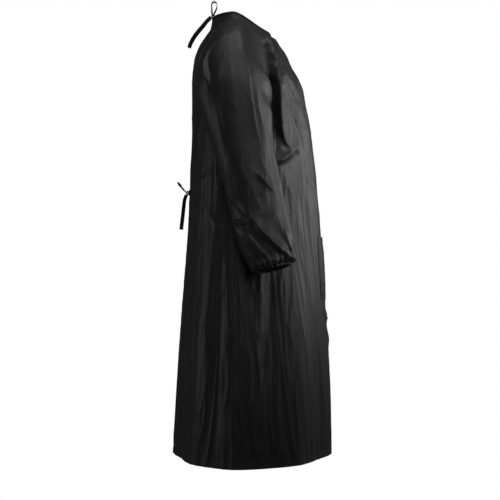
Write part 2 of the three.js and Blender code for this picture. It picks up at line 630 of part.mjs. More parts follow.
const WAIST_TAIL = points([[-4.6, 144.2, -494.2], [-5, 146.4, -500.2], [-5.6, 148.8, -507.4], [-6.2, 149.8, -514],
  [-6.8, 150.6, -521], [-7.2, 151.4, -528.4], [-7.4, 152.2, -535.8], [-7.6, 153, -543.2], [-7.6, 153.8, -550.6],
  [-7.4, 154.6, -558], [-7.2, 155.4, -565], [-7, 156.2, -571.8], [-6.8, 157, -578.4], [-6.6, 157.6, -584.6],
  [-6.4, 158.2, -590.4]]);

for (const [sideName, side] of [['right', 1], ['left', -1]]) {
  const placed = (route) => route.map((point) => new THREE.Vector3(point.x * side, point.y, point.z));
  addPiece(`${sideName}_neck_loop`, tapeTube(placed(NECK_LOOP), true), tapeCloth);
  addPiece(`${sideName}_neck_tail`, tapeTube(placed(NECK_TAIL), false), tapeCloth);
  addPiece(`${sideName}_waist_loop`, tapeTube(placed(WAIST_LOOP), true), tapeCloth);
  addPiece(`${sideName}_waist_tail`, tapeTube(placed(WAIST_TAIL), false), tapeCloth);
}

export default smock;
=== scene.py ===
import math
import bmesh
import bpy
import numpy as np
from mathutils import Matrix, Vector, noise


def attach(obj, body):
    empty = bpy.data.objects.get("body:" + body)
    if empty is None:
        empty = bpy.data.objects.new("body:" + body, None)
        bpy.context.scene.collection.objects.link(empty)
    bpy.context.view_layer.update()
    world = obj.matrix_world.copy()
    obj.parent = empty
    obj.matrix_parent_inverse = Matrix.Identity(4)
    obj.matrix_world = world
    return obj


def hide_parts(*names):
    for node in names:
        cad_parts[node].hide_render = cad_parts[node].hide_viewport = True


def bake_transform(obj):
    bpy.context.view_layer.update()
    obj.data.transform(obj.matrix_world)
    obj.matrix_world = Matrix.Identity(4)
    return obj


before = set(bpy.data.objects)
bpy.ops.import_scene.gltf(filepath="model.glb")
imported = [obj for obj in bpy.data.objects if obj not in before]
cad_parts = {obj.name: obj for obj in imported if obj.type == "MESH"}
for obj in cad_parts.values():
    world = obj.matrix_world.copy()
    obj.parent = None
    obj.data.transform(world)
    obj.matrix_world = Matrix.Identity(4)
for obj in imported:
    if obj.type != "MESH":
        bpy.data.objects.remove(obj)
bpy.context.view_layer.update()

# ---- Camera -----------------------------------------------------------------
# The camera stands level with the middle of the smock, on the wearer's right,
# and looks straight across, so that the smock is seen in profile.
camera_data = bpy.data.cameras.new("camera")
camera_data.sensor_width = 36.0
camera_data.lens = 77.7
camera = bpy.data.objects.new("camera", camera_data)
camera.location = (-3.0, -0.033, -0.647)
camera.rotation_euler = (math.radians(90), 0, math.radians(-90))
bpy.context.scene.collection.objects.link(camera)
bpy.context.scene.camera = camera

# ---- Ties -------------------------------------------------------------------
# Two bows of narrow woven polyester tape close the back, one at the neck and
# one at the waist. Each half of a bow has a loop and a tail, pulled out of the knot.
MM = 0.001
TAPE_WIDTH = 10 * MM
TAPE_THICK = 1.1 * MM


def smooth(t):
    """Eased step from 0 to 1, for numbers and arrays."""
    t = np.clip(t, 0, 1)
    return t * t * (3 - 2 * t)


def linear(hex_colour):
    """The linear colour of an sRGB hex value such as '1C1C1E'."""
    channels = [int(hex_colour[i:i + 2], 16) / 255 for i in (0, 2, 4)]
    return [c / 12.92 if c <= 0.04045 else ((c + 0.055) / 1.055) ** 2.4 for c in channels] + [1.0]


def add_node(tree, kind, values=None, links=None, **settings):
    """Adds a shader node with its settings, socket values and incoming links."""
    node = tree.nodes.new(kind)
    for name, value in settings.items():
        setattr(node, name, value)
    for name, value in (values or {}).items():
        node.inputs[name].default_value = value
    for name, source in (links or {}).items():
        tree.links.new(source, node.inputs[name])
    return node


def new_material(name):
    """An empty node material and its tree."""
    material = bpy.data.materials.new(name)
    material.use_nodes = True
    material.node_tree.nodes.clear()
    return material, material.node_tree


def mapped_grid(columns, rows, place, around=False):
    """A bmesh grid whose vertices are put at place(u, v) for u, v from 0 to 1; closed if around."""
    mesh = bmesh.new()
    uv_layer = mesh.loops.layers.uv.new("cloth")
    bmesh.ops.create_grid(mesh, x_segments=columns, y_segments=rows, size=0.5, calc_uvs=False)
    params = np.array([v.co[:2] for v in mesh.verts]) + 0.5
    spots = place(params[:, 0], params[:, 1])
    for face in mesh.faces:
        for loop in face.loops:
            loop[uv_layer].uv = params[loop.vert.index]
    for vert, spot in zip(mesh.verts, spots):
        vert.co = spot
    if around:
        bmesh.ops.remove_doubles(mesh, verts=mesh.verts, dist=1e-6)
    return mesh


def finish_piece(mesh, name, material, flip=False):
    """Turns a bmesh into a smooth-shaded object with one material."""
    if flip:
        bmesh.ops.reverse_faces(mesh, faces=mesh.faces)
    for face in mesh.faces:
        face.smooth = True
    data = bpy.data.meshes.new(name)
    mesh.to_mesh(data)
    mesh.free()
    data.materials.append(material)
    piece = bpy.data.objects.new(name, data)
    bpy.context.scene.collection.objects.link(piece)
    return piece


def through(points, count):
    """Evenly spaced points on a smooth curve through the given ones."""
    p = np.array(points, float)
    ends = np.vstack([2 * p[0] - p[1], p, 2 * p[-1] - p[-2]])
    fine = []
    for i in range(len(p) - 1):
        a, b, c, d = ends[i:i + 4]
        for t in np.linspace(0, 1, 12, endpoint=False):
            fine.append(0.5 * (2 * b + (c - a) * t + (2 * a - 5 * b + 4 * c - d) * t ** 2
                               + (3 * b - a - 3 * c + d) * t ** 3))
    fine = np.array(fine + [p[-1]])
    steps = np.concatenate([[0], np.cumsum(np.linalg.norm(np.diff(fine, axis=0), axis=1))])
    at = np.linspace(0, steps[-1], count)
    return np.stack([np.interp(at, steps, fine[:, k]) for k in range(3)], axis=1), steps[-1]


def woven_tape_material():
    """Woven polyester tape: matt black ribs across the tape, with a dull bloom on the yarns."""
    material, tree = new_material("woven polyester tape")
    uv = add_node(tree, "ShaderNodeUVMap", uv_map="cloth")
    # ribs 0.9 mm apart along the tape: the UV's second coordinate is in metres
    ribs = add_node(tree, "ShaderNodeTexWave", {"Scale": 350.0, "Distortion": 0.4, "Detail": 2.0},
                    {"Vector": uv.outputs[0]}, bands_direction="Y")
    tone = add_node(tree, "ShaderNodeValToRGB", links={"Fac": ribs.outputs["Fac"]})
    tone.color_ramp.elements[0].color = linear("050506")
    tone.color_ramp.elements[1].color = linear("0E0E0F")
    bump = add_node(tree, "ShaderNodeBump", {"Strength": 0.5, "Distance": 0.0002},
                    {"Height": ribs.outputs["Fac"]})
    shader = add_node(tree, "ShaderNodeBsdfPrincipled",
                      {"Roughness": 0.78, "Sheen Weight": 0.06, "Sheen Roughness": 0.5,
                       "Specular IOR Level": 0.25},
                      {"Base Color": tone.outputs["Color"], "Normal": bump.outputs["Normal"]})
    add_node(tree, "ShaderNodeOutputMaterial", links={"Surface": shader.outputs[0]})
    return material


tape_material = woven_tape_material()


def flat_tape(name, route, width_start, width_end, width=TAPE_WIDTH, thick=TAPE_THICK, count=60, curl=0.0):
    """A flat tape along a route. Its width turns from one direction to the other on the way."""
    line, length = through(route, count)
    tangents = np.gradient(line, axis=0)
    tangents /= np.linalg.norm(tangents, axis=1)[:, None]
    share = np.linspace(0, 1, count)[:, None]
    wide = np.array(width_start) * (1 - share) + np.array(width_end) * share
    wide -= tangents * np.sum(wide * tangents, axis=1)[:, None]
    wide /= np.linalg.norm(wide, axis=1)[:, None]
    flat = np.cross(tangents, wide)

    def place(u, v):
        row = np.rint(v * (count - 1)).astype(int)
        turn = 2 * math.pi * u
        # a squashed round section: nearly flat faces and thin rounded edges
        across = np.sign(np.cos(turn)) * np.abs(np.cos(turn)) ** 0.55
        through_tape = np.sign(np.sin(turn)) * np.abs(np.sin(turn)) ** 0.8
        cup = curl * (across ** 2 - 0.4)
        return (line[row] + wide[row] * (across * width / 2)[:, None]
                + flat[row] * (through_tape * thick / 2 + cup * width)[:, None])

    mesh = mapped_grid(12, count - 1, place, around=True)
    bmesh.ops.holes_fill(mesh, edges=[e for e in mesh.edges if e.is_boundary], sides=0)
    bmesh.ops.recalc_face_normals(mesh, faces=mesh.faces)
    uv_layer = mesh.loops.layers.uv.active
    for face in mesh.faces:
        for loop in face.loops:
            u, v = loop[uv_layer].uv
            loop[uv_layer].uv = (u * 2 * width, v * length)
    return finish_piece(mesh, name, tape_material), line, length


NECK_LOOP = [[-6, 67.6, 8.6], [-6.2, 65.4, 13], [-6.6, 62.6, 18.6], [-7, 60.2, 24.8], [-7.2, 58.8, 31],
             [-7.4, 59.4, 37], [-7.6, 62.2, 41.4], [-7.8, 66, 43.2], [-7.8, 69.8, 41.6], [-7.8, 72.4, 37.2],
             [-7.6, 73.4, 31], [-7.2, 73.2, 24.6], [-6.8, 72.8, 18.6], [-6.4, 72.6, 13], [-6, 72.6, 8.8]]
NECK_TAIL = [[-5, 75.8, 0.2], [-5.4, 79.6, -3.6], [-6, 84.6, -8.4], [-6.6, 89.2, -13.6], [-7, 94, -19.6],
             [-7.4, 99, -25.8], [-7.6, 104.2, -32], [-7.8, 109.6, -38.2], [-7.8, 115, -44.8],
             [-7.6, 120, -51.6], [-7.4, 124.4, -58.4], [-7.2, 128.2, -65], [-7, 131.4, -71.4],
             [-6.8, 134, -77.8], [-6.6, 136, -84.6]]
WAIST_LOOP = [[-7.8, 143.6, -487.2], [-12.4, 145.6, -484.8], [-17.4, 148.4, -481.4], [-22, 151.6, -477.6],
              [-26.4, 155.2, -473.4], [-30, 158.8, -469.4], [-32, 162, -466.4], [-31.6, 164.6, -464.6],
              [-28.4, 165.2, -465], [-24, 163.6, -467.4], [-19.6, 160.6, -471], [-15.6, 157, -475.2],
              [-12.2, 153.4, -479.4], [-9.4, 150.6, -482.6], [-7, 149.2, -484.4]]
WAIST_TAIL = [[-4.6, 144.2, -494.2], [-5, 146.4, -500.2], [-5.6, 148.8, -507.4], [-6.2, 149.8, -514],
              [-6.8, 150.6, -521], [-7.2, 151.4, -528.4], [-7.4, 152.2, -535.8], [-7.6, 153, -543.2],
              [-7.6, 153.8, -550.6], [-7.4, 154.6, -558], [-7.2, 155.4, -565], [-7, 156.2, -571.8],
              [-6.8, 157, -578.4], [-6.6, 157.6, -584.6], [-6.4, 158.2, -590.4]]

TIES = [("neck_loop", NECK_LOOP, (1, 0.4, 0), (1, -0.5, 0.2), "object", 0.0),
        ("neck_tail", NECK_TAIL, (0.3, 0.7, 0.6), (0.1, 0.8, 0.5), "bare", 0.06),
        ("waist_loop", WAIST_LOOP, (0, 0.5, 0.8), (0, 0.6, 0.8), "object", 0.0),
        ("waist_tail", WAIST_TAIL, (0.3, 1, 0), (0.1, 1, 0.1), "bare", 0.06)]
for side_name, side in (("right", 1), ("left", -1)):
    for tie, route, width_start, width_end, far_end, curl in TIES:
        placed = [(x * side * MM, y * MM, z * MM) for x, y, z in route]
        start = (width_start[0] * side, *width_start[1:])
        end = (width_end[0] * side, *width_end[1:])
        piece, line, length = flat_tape(f"{side_name}_{tie}_tape", placed, start, end, curl=curl)
        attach(piece, f"{side_name}_{tie}_end" if far_end == "bare" else "torso")
        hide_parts(f"{side_name}_{tie}")

# ---- Front panel ------------------------------------------------------------
# The front is one piece of black coated polyester from side seam to side seam,
# with slanted raglan edges and a narrow double-folded hem, topstitched.
CLOTH = 0.5           # millimetres; the garment's own sizes below are in millimetres too
HEM_Z = -1200
CHEST_Z = -320
BODY_HEIGHT = CHEST_Z - HEM_Z


def profile(pairs):
    """A smooth curve through (place, value) pairs that doesn't overshoot."""
    x, y = np.array(pairs, float).T
    step = np.diff(y) / np.diff(x)
    before, after = step[:-1], step[1:]
    slope = np.empty_like(y)
    slope[0], slope[-1] = step[0], step[-1]
    both = np.where(before + after == 0, 1, before + after)
    slope[1:-1] = np.where(before * after > 0, 2 * before * after / both, 0)

    def value(t):
        t = np.clip(t, x[0], x[-1])
        i = np.clip(np.searchsorted(x, t, side="right") - 1, 0, len(x) - 2)
        span = x[i + 1] - x[i]
        s = (t - x[i]) / span
        return ((2 * s ** 3 - 3 * s ** 2 + 1) * y[i] + (s ** 3 - 2 * s ** 2 + s) * span * slope[i]
                + (3 * s ** 2 - 2 * s ** 3) * y[i + 1] + (s ** 3 - s ** 2) * span * slope[i + 1])

    return value


# Half width, front depth and back depth, from hem (0) to underarm (1), then from underarm (1) to neck (2).
lower_width = profile([(0, 288), (0.34, 246), (0.58, 213), (0.8, 183), (1, 170)])
lower_front = profile([(0, 257), (0.28, 250), (0.5, 239), (0.69, 228), (0.88, 214), (1, 202)])
lower_back = profile([(0, 176), (0.2, 167), (0.42, 156), (0.69, 139), (0.9, 131.5), (1, 128)])
upper_width = profile([(0, 170), (0.35, 166), (0.6, 158), (0.8, 136), (0.92, 102), (1, 75)])
upper_front = profile([(0, 202), (0.22, 189), (0.44, 176), (0.64, 150), (0.85, 122), (0.93, 100), (1, 86)])
upper_back = profile([(0, 128), (0.4, 127.5), (0.62, 120), (0.76, 104.5), (0.83, 90), (0.9, 76), (1, 70)])
# Angle of each raglan seam from the centre line, from underarm (0) to neck (1).
front_raglan = profile([(0, 90), (0.04, 84), (0.12, 77), (0.3, 69), (0.55, 59), (0.8, 50), (1, 42)])
back_raglan = profile([(0, 90), (0.04, 84), (0.12, 77), (0.3, 69), (0.55, 58), (0.8, 47), (1, 38)])


def body_point(angle, level):
    """The body's surface: angle 0 is the centre front, 90 the left side; level 0 hem, 1 underarm, 2 neck."""
    angle, level = np.broadcast_arrays(np.asarray(angle, float), np.asarray(level, float))
    sine, cosine = np.sin(np.radians(angle)), np.cos(np.radians(angle))
    upper = level > 1
    share = np.where(upper, level - 1, level)
    square = np.where(upper, 0.9 + 0.1 * share, 1 - 0.1 * share)
    width = np.where(upper, upper_width(share), lower_width(share))
    front = np.where(upper, upper_front(share), lower_front(share))
    back = np.where(upper, upper_back(share), lower_back(share))
    way = np.maximum(0, (cosine + 0.25) / 1.25)
    neck = -46 * way * way * (3 - 2 * way) - 4 * np.maximum(0, -cosine)
    z = np.where(upper, CHEST_Z + (neck - CHEST_Z) * share, HEM_Z + BODY_HEIGHT * share)
    x = width * np.sign(sine) * np.abs(sine) ** square
    y = np.where(cosine > 0, -front, back) * np.abs(cosine) ** square
    return np.stack([x, y, z], axis=-1)


def unit(v):
    return v / np.maximum(np.linalg.norm(v, axis=-1, keepdims=True), 1e-9)


def body_normal(angle, level):
    across = body_point(angle + 0.7, level) - body_point(angle - 0.7, level)
    along = body_point(angle, np.minimum(level + 0.006, 2)) - body_point(angle, np.maximum(level - 0.006, 0))
    return unit(np.cross(across, along))


def degrees_for(length, angle, level):
    """Turns a length round the body into degrees."""
    return length / np.linalg.norm(body_point(angle + 0.5, level) - body_point(angle - 0.5, level), axis=-1)


def soft_noise(points, sizes, seed, ridged=False):
    """Smooth noise from -1 to 1 with lumps of the given sizes along X, Y and Z."""
    flat = (points.reshape(-1, 3) / np.array(sizes, float) + seed * 17.3)
    value = np.array([noise.noise(Vector(p)) for p in flat])
    if ridged:
        value = 1 - 2.4 * np.sqrt(np.abs(value) + 0.004)
    return value.reshape(points.shape[:-1])


def ridges(y, z, folds):
    """Height of some folds at places seen from the side. Each is a line of (y, z) points, its height, and its
    width on its right and on its left as the line runs."""
    height = np.zeros(y.shape)
    for line, rise, right_width, left_width in folds:
        path = through([(a, b, 0) for a, b in line], 30)[0][:, :2]
        reach = 5 * max(right_width, left_width)
        low, high = path.min(0) - reach, path.max(0) + reach
        near = (y > low[0]) & (y < high[0]) & (z > low[1]) & (z < high[1])
        spot = np.stack([y[near], z[near]], 1)[:, None, :]
        start, step = path[:-1], np.diff(path, axis=0)
        t = np.clip(((spot - start) * step).sum(-1) / (step ** 2).sum(-1), 0, 1)
        off = spot - (start + t[..., None] * step)
        gap = np.sqrt((off ** 2).sum(-1))
        k = gap.argmin(1)
        pick = np.arange(len(k))
        d, along = gap[pick, k], (k + t[pick, k]) / len(step)
        side = step[k, 0] * off[pick, k, 1] - step[k, 1] * off[pick, k, 0]
        lean = 0.5 + 0.5 * np.tanh(side / (np.linalg.norm(step[k], axis=1) * 3))
        width = right_width + (left_width - right_width) * lean
        taper = 0.2 + 0.8 * smooth(along / 0.3) * smooth((1 - along) / 0.3)
        height[near] += rise * taper * (np.exp(-(d / width) ** 1.3)
                                        - 0.25 * np.exp(-(d / (2.4 * width)) ** 2))
    return height


# Folds on the body's sides, as lines of (y, z): pulls from the underarm, creases from the neck
# across the chest, pulls from the waist tie, and slanting dents in the skirt.
SIDE_FOLDS = [
    ([(-84, -104), (-90, -166), (-108, -204), (-112, -315), (-126, -362), (-151, -381)], 17, 26, 6),
    ([(-152, -378), (-128, -402), (-98, -420)], 10, 8, 14),
    ([(-75, -90), (-84, -138), (-95, -196), (-97, -265), (-102, -331), (-103, -388)], -20, 8, 9),
    ([(-77, -85), (-118, -156), (-162, -234)], 7, 7, 4),
    ([(-82, -104), (-116, -164), (-149, -226)], 6.5, 6, 4),
    ([(-88, -131), (-130, -212), (-171, -291)], 7, 7, 4),
    ([(-96, -156), (-142, -266), (-183, -374)], 6, 9, 5),
    ([(-130, -150), (-160, -230), (-192, -330)], 3, 7, 10),
    ([(-118, -250), (-132, -300), (-140, -350)], 4, 6, 5),
    ([(-150, -330), (-168, -420), (-178, -520)], 4, 7, 10),
    ([(-120, -440), (-150, -520), (-168, -640)], 4, 9, 12),
    ([(-96, -430), (-104, -500), (-112, -580)], 4, 7, 10),
    ([(126, -486), (80, -452), (20, -410)], 2.5, 9, 12),
    ([(128, -494), (84, -540), (30, -620)], 2.5, 12, 10),
    ([(118, -330), (122, -400), (126, -470)], 4, 8, 8),
    ([(-81, -820), (-72, -900), (-65, -990)], -4, 9, 9),
    ([(-157, -845), (-150, -940), (-139, -1043)], -4, 9, 9),
    ([(-40, -560), (-60, -700), (-58, -860)], 4, 12, 16),
    ([(60, -600), (74, -780), (86, -980)], 4, 12, 16),
    ([(90, -160), (112, -230), (118, -300)], 5, 8, 8),
]
# Folds on the front, as lines of (x, z).
FRONT_FOLDS = [
    ([(-30, -78), (-52, -150), (-96, -290)], 4, 8, 12),
    ([(34, -80), (40, -160), (84, -310)], 4, 12, 8),
    ([(4, -92), (-8, -200), (10, -360)], 3, 12, 12),
    ([(-36, -60), (-4, -68), (30, -63)], 15, 9, 4),
    ([(-70, -800), (-30, -832), (30, -842)], 6, 9, 9),
    ([(-50, -860), (0, -905), (70, -935)], 5, 14, 14),
    ([(-120, -420), (-60, -500), (-30, -600)], 4, 16, 20),
    ([(110, -440), (70, -520), (40, -610)], 4, 20, 16),
]
# Long soft folds in the skirt: angle at the hem, angle at the top, width in degrees, height, top level.
SKIRT_FOLDS = [
    (-14, -10, 6, 7, 0.55), (-33, -27, 6, -7, 0.75), (-52, -50, 7, 9, 0.85), (-72, -68, 6, -8, 0.8),
    (-90, -86, 7, 9, 0.95), (-109, -104, 6, -9, 0.85), (-128, -122, 7, 9, 0.8), (-150, -146, 7, -7, 0.7),
    (-170, -167, 6, 6, 0.6), (12, 9, 5, -6, 0.6), (30, 26, 7, 9, 0.8), (55, 50, 7, -8, 0.85),
    (77, 70, 7, 9, 0.9), (101, 97, 7, -9, 0.9), (124, 118, 7, 9, 0.8), (146, 142, 6, -7, 0.7),
    (167, 164, 7, 6, 0.6),
]


def seam_dent(turn, level):
    """How far the cloth sinks along the raglan seams, where the sleeves fall over it."""
    high = np.clip(level - 1, 0, 1)
    window = smooth(high / 0.1) * smooth((0.95 - high) / 0.12) * (level > 1)
    ahead = front_raglan(high) - np.abs(turn)
    front = -20 * np.exp(-(ahead / np.where(ahead > 0, 9 - 5 * high, 7 - 3 * high)) ** 2)
    back = -11 * np.exp(-((180 - np.abs(turn) - back_raglan(high)) / 7) ** 2)
    return window * (front + back)


def body_relief(angle, level):
    """How far the draped cloth stands out from the body's plain shape."""
    base = body_point(angle, level)
    turn = (np.asarray(angle, float) + 180) % 360 - 180
    low = np.clip(1 - level, 0, 1)
    high = np.clip(level - 1, 0, 1)
    relief = 5 * low * soft_noise(base, (80, 80, 900), 1) + 1.8 * soft_noise(base, (85, 85, 260), 2)
    relief += (0.6 + 1.3 * low) * soft_noise(base, (18, 18, 620), 7, ridged=True)
    relief += ((0.9 - 0.5 * low) * soft_noise(base, (44, 44, 150), 3, ridged=True)
               * (0.3 + smooth((level - 0.45) / 0.6)))
    for at_hem, at_top, width, rise, top in SKIRT_FOLDS:
        middle = at_hem + (at_top - at_hem) * np.clip(level / top, 0, 1)
        gap = (turn - middle + 180) % 360 - 180
        fade = smooth((top - level) / 0.45) * (0.55 + 0.45 * low)
        relief += 0.8 * rise * fade * np.exp(-(gap / (width * (0.75 + 0.35 * low))) ** 2)
    aside = smooth((np.abs(base[..., 0]) - 12) / 70)
    relief += aside * (base[..., 0] < 0) * ridges(base[..., 1], base[..., 2], SIDE_FOLDS)
    mirrored = ridges(base[..., 1] - 7, base[..., 2] + 12, SIDE_FOLDS)
    relief += 0.85 * aside * (base[..., 0] > 0) * mirrored
    ahead = smooth((np.cos(np.radians(turn)) - 0.3) / 0.5)
    relief += ahead * ridges(base[..., 0], base[..., 2], FRONT_FOLDS)
    # the seams hold the cloth still: no folds at the neck edge, and few along the raglan seams
    neck = smooth((2 - level) / 0.16)
    raglan = np.where(np.abs(turn) < 90, np.abs(turn) - front_raglan(high),
                      180 - back_raglan(high) - np.abs(turn))
    beside = np.where(level > 1, np.clip(np.abs(raglan) / 7, 0, 1), 1)
    beside = np.where(level > 1, 1 + (beside - 1) * smooth(high / 0.06), 1)
    side_seam = 1.2 * np.exp(-((np.abs(np.abs(turn) - 90)) / 0.8) ** 2) * (level <= 1)
    # a small pucker above the hem, and the groove that its stitches pull in
    above = level * BODY_HEIGHT
    pucker = 0.8 * np.exp(-(above / 30) ** 2) * soft_noise(base, (11, 11, 60), 5)
    groove = -0.7 * np.exp(-((above - 18) / 2.6) ** 2)
    return relief * neck * beside - side_seam + pucker + groove + seam_dent(turn, level)


def body_cloth(angle, level, lift=0.0):
    """A point of the draped body, moved out by lift."""
    out = body_relief(angle, level) + lift
    return body_point(angle, level) + body_normal(angle, level) * out[..., None]


def grid_normals(points, ring=False):
    """Outward normals of a grid of points: rows go up, columns go from front to left."""
    up = np.gradient(points, axis=0)
    if ring:
        over = np.roll(points, -1, axis=1) - np.roll(points, 1, axis=1)
    else:
        over = np.gradient(points, axis=1)
    return unit(np.cross(over, up))


def cloth_sheet(name, points, normals, material, ring=False, thick=CLOTH, wear=None, size=None):
    """A sheet of cloth from a grid of outer points in millimetres, with an inner layer and a closed rim."""
    rows, columns = points.shape[:2]
    count = rows * columns
    index = np.arange(count).reshape(rows, columns)
    right = np.roll(index, -1, axis=1) if ring else index[:, 1:]
    left = index if ring else index[:, :-1]
    quads = np.stack([left[:-1], right[:-1], right[1:], left[1:]], axis=-1).reshape(-1, 4)
    faces = [quads, quads[:, ::-1] + count]
    rims = [np.stack([left[0] + count, right[0] + count, right[0], left[0]], axis=-1),
            np.stack([left[-1], right[-1], right[-1] + count, left[-1] + count], axis=-1)]
    if not ring:
        rims.append(np.stack([index[:-1, 0], index[1:, 0], index[1:, 0] + count, index[:-1, 0] + count],
                             axis=-1))
        rims.append(np.stack([index[:-1, -1] + count, index[1:, -1] + count, index[1:, -1], index[:-1, -1]],
                             axis=-1))
    all_faces = np.vstack(faces + rims)
    outer = points.reshape(-1, 3)
    vertices = np.vstack([outer, outer - normals.reshape(-1, 3) * thick]) * MM
    data = bpy.data.meshes.new(name)
    data.from_pydata(vertices.tolist(), [], all_faces.tolist())
    steps_over = np.linalg.norm(np.diff(points, axis=1), axis=-1)
    over = np.concatenate([np.zeros((rows, 1)), np.cumsum(steps_over, axis=1)], axis=1)
    over -= over[:, columns // 2:columns // 2 + 1]
    steps_up = np.linalg.norm(np.diff(points, axis=0), axis=-1).mean(axis=1)
    up = np.concatenate([[0], np.cumsum(steps_up)])[:, None] + np.zeros((1, columns))
    places = np.tile(np.stack([over, up], axis=-1).reshape(-1, 2) * MM, (2, 1))
    uv_layer = data.uv_layers.new(name="cloth")
    corners = np.empty(len(data.loops), dtype=np.int32)
    data.loops.foreach_get("vertex_index", corners)
    uv_layer.data.foreach_set("uv", places[corners].ravel())
    worn = np.zeros(count) if wear is None else np.clip(wear.ravel(), 0, 1)
    data.attributes.new("wear", "FLOAT", "POINT").data.foreach_set("value", np.tile(worn, 2))
    data.polygons.foreach_set("use_smooth", np.ones(len(data.polygons), dtype=bool))
    both_sides = np.vstack([normals.reshape(-1, 3), -normals.reshape(-1, 3)])
    data.normals_split_custom_set_from_vertices(both_sides.tolist())
    data.materials.append(material)
    piece = bpy.data.objects.new(name, data)
    bpy.context.scene.collection.objects.link(piece)
    return piece


def coated_cloth_material():
    """Black polyester with a thin polyurethane coat: a satin shine, fine creases and a plain weave."""
    material, tree = new_material("coated polyester cloth")
    uv = add_node(tree, "ShaderNodeUVMap", uv_map="cloth")
    place = add_node(tree, "ShaderNodeTexCoord")
    wear = add_node(tree, "ShaderNodeAttribute", attribute_name="wear")
    # plain weave, yarns 0.55 mm apart in both directions
    warp = add_node(tree, "ShaderNodeTexWave", {"Scale": 571.0, "Distortion": 0.5, "Detail": 1.0},
                    {"Vector": uv.outputs[0]}, bands_direction="X")
    weft = add_node(tree, "ShaderNodeTexWave", {"Scale": 571.0, "Distortion": 0.5, "Detail": 1.0},
                    {"Vector": uv.outputs[0]}, bands_direction="Y")
    weave = add_node(tree, "ShaderNodeMath", links={0: warp.outputs["Fac"], 1: weft.outputs["Fac"]},
                     operation="MAXIMUM")
    # creases that run with the grain of the cloth, about 15 mm apart and 80 mm long
    grain = add_node(tree, "ShaderNodeMapping", {"Scale": (66.0, 13.0, 1.0)}, {"Vector": uv.outputs[0]})
    creases = add_node(tree, "ShaderNodeTexNoise",
                       {"Scale": 1.0, "Detail": 4.0, "Roughness": 0.5, "Distortion": 0.8},
                       {"Vector": grain.outputs[0]}, noise_type="RIDGED_MULTIFRACTAL")
    # finer crinkles in the coat, 6 mm apart
    crinkle = add_node(tree, "ShaderNodeTexNoise",
                       {"Scale": 130.0, "Detail": 4.0, "Roughness": 0.6, "Distortion": 0.3},
                       {"Vector": place.outputs["Object"]})
    cloud = add_node(tree, "ShaderNodeTexNoise", {"Scale": 9.0, "Detail": 4.0, "Roughness": 0.6},
                     {"Vector": place.outputs["Object"]})
    base = add_node(tree, "ShaderNodeMix", {"Factor": 0.5}, {"Factor": cloud.outputs["Fac"]},
                    data_type="RGBA")
    base.inputs["A"].default_value = linear("0E0E0F")
    base.inputs["B"].default_value = linear("161618")
    worn = add_node(tree, "ShaderNodeMath", {1: 0.5}, {0: wear.outputs["Fac"]}, operation="MULTIPLY")
    worn_tint = add_node(tree, "ShaderNodeMix", None, {"Factor": worn.outputs[0]}, data_type="RGBA")
    tree.links.new(base.outputs["Result"], worn_tint.inputs["A"])
    worn_tint.inputs["B"].default_value = linear("262628")
    rough = add_node(tree, "ShaderNodeMapRange", {"To Min": 0.42, "To Max": 0.56},
                     {"Value": crinkle.outputs["Fac"]})
    rougher = add_node(tree, "ShaderNodeMath", {1: 0.14},
                       {0: wear.outputs["Fac"], 2: rough.outputs["Result"]},
                       operation="MULTIPLY_ADD")
    fold_bump = add_node(tree, "ShaderNodeBump", {"Strength": 0.45, "Distance": 0.0016},
                         {"Height": creases.outputs["Fac"]})
    crinkle_bump = add_node(tree, "ShaderNodeBump", {"Strength": 0.3, "Distance": 0.0008},
                            {"Height": crinkle.outputs["Fac"], "Normal": fold_bump.outputs["Normal"]})
    weave_bump = add_node(tree, "ShaderNodeBump", {"Strength": 0.25, "Distance": 0.00012},
                          {"Height": weave.outputs[0], "Normal": crinkle_bump.outputs["Normal"]})
    shader = add_node(tree, "ShaderNodeBsdfPrincipled",
                      {"Specular IOR Level": 0.5, "Sheen Weight": 0.04, "Sheen Roughness": 0.5,
                       "Coat Weight": 0.06, "Coat Roughness": 0.35},
                      {"Base Color": worn_tint.outputs["Result"], "Roughness": rougher.outputs[0],
                       "Normal": weave_bump.outputs["Normal"]})
    add_node(tree, "ShaderNodeOutputMaterial", links={"Surface": shader.outputs[0]})
    return material


def thread_material():
    """Spun polyester sewing thread: matt black with a faint twist."""
    material, tree = new_material("polyester sewing thread")
    place = add_node(tree, "ShaderNodeTexCoord")
    # twisted plies about 0.4 mm apart
    twist = add_node(tree, "ShaderNodeTexWave", {"Scale": 780.0, "Distortion": 1.0},
                     {"Vector": place.outputs["Object"]}, bands_direction="DIAGONAL")
    tone = add_node(tree, "ShaderNodeValToRGB", links={"Fac": twist.outputs["Fac"]})
    tone.color_ramp.elements[0].color = linear("151516")
    tone.color_ramp.elements[1].color = linear("2A2A2B")
    bump = add_node(tree, "ShaderNodeBump", {"Strength": 0.4, "Distance": 0.0001},
                    {"Height": twist.outputs["Fac"]})
    shader = add_node(tree, "ShaderNodeBsdfPrincipled", {"Roughness": 0.6, "Sheen Weight": 0.3},
                      {"Base Color": tone.outputs["Color"], "Normal": bump.outputs["Normal"]})
    add_node(tree, "ShaderNodeOutputMaterial", links={"Surface": shader.outputs[0]})
    return material


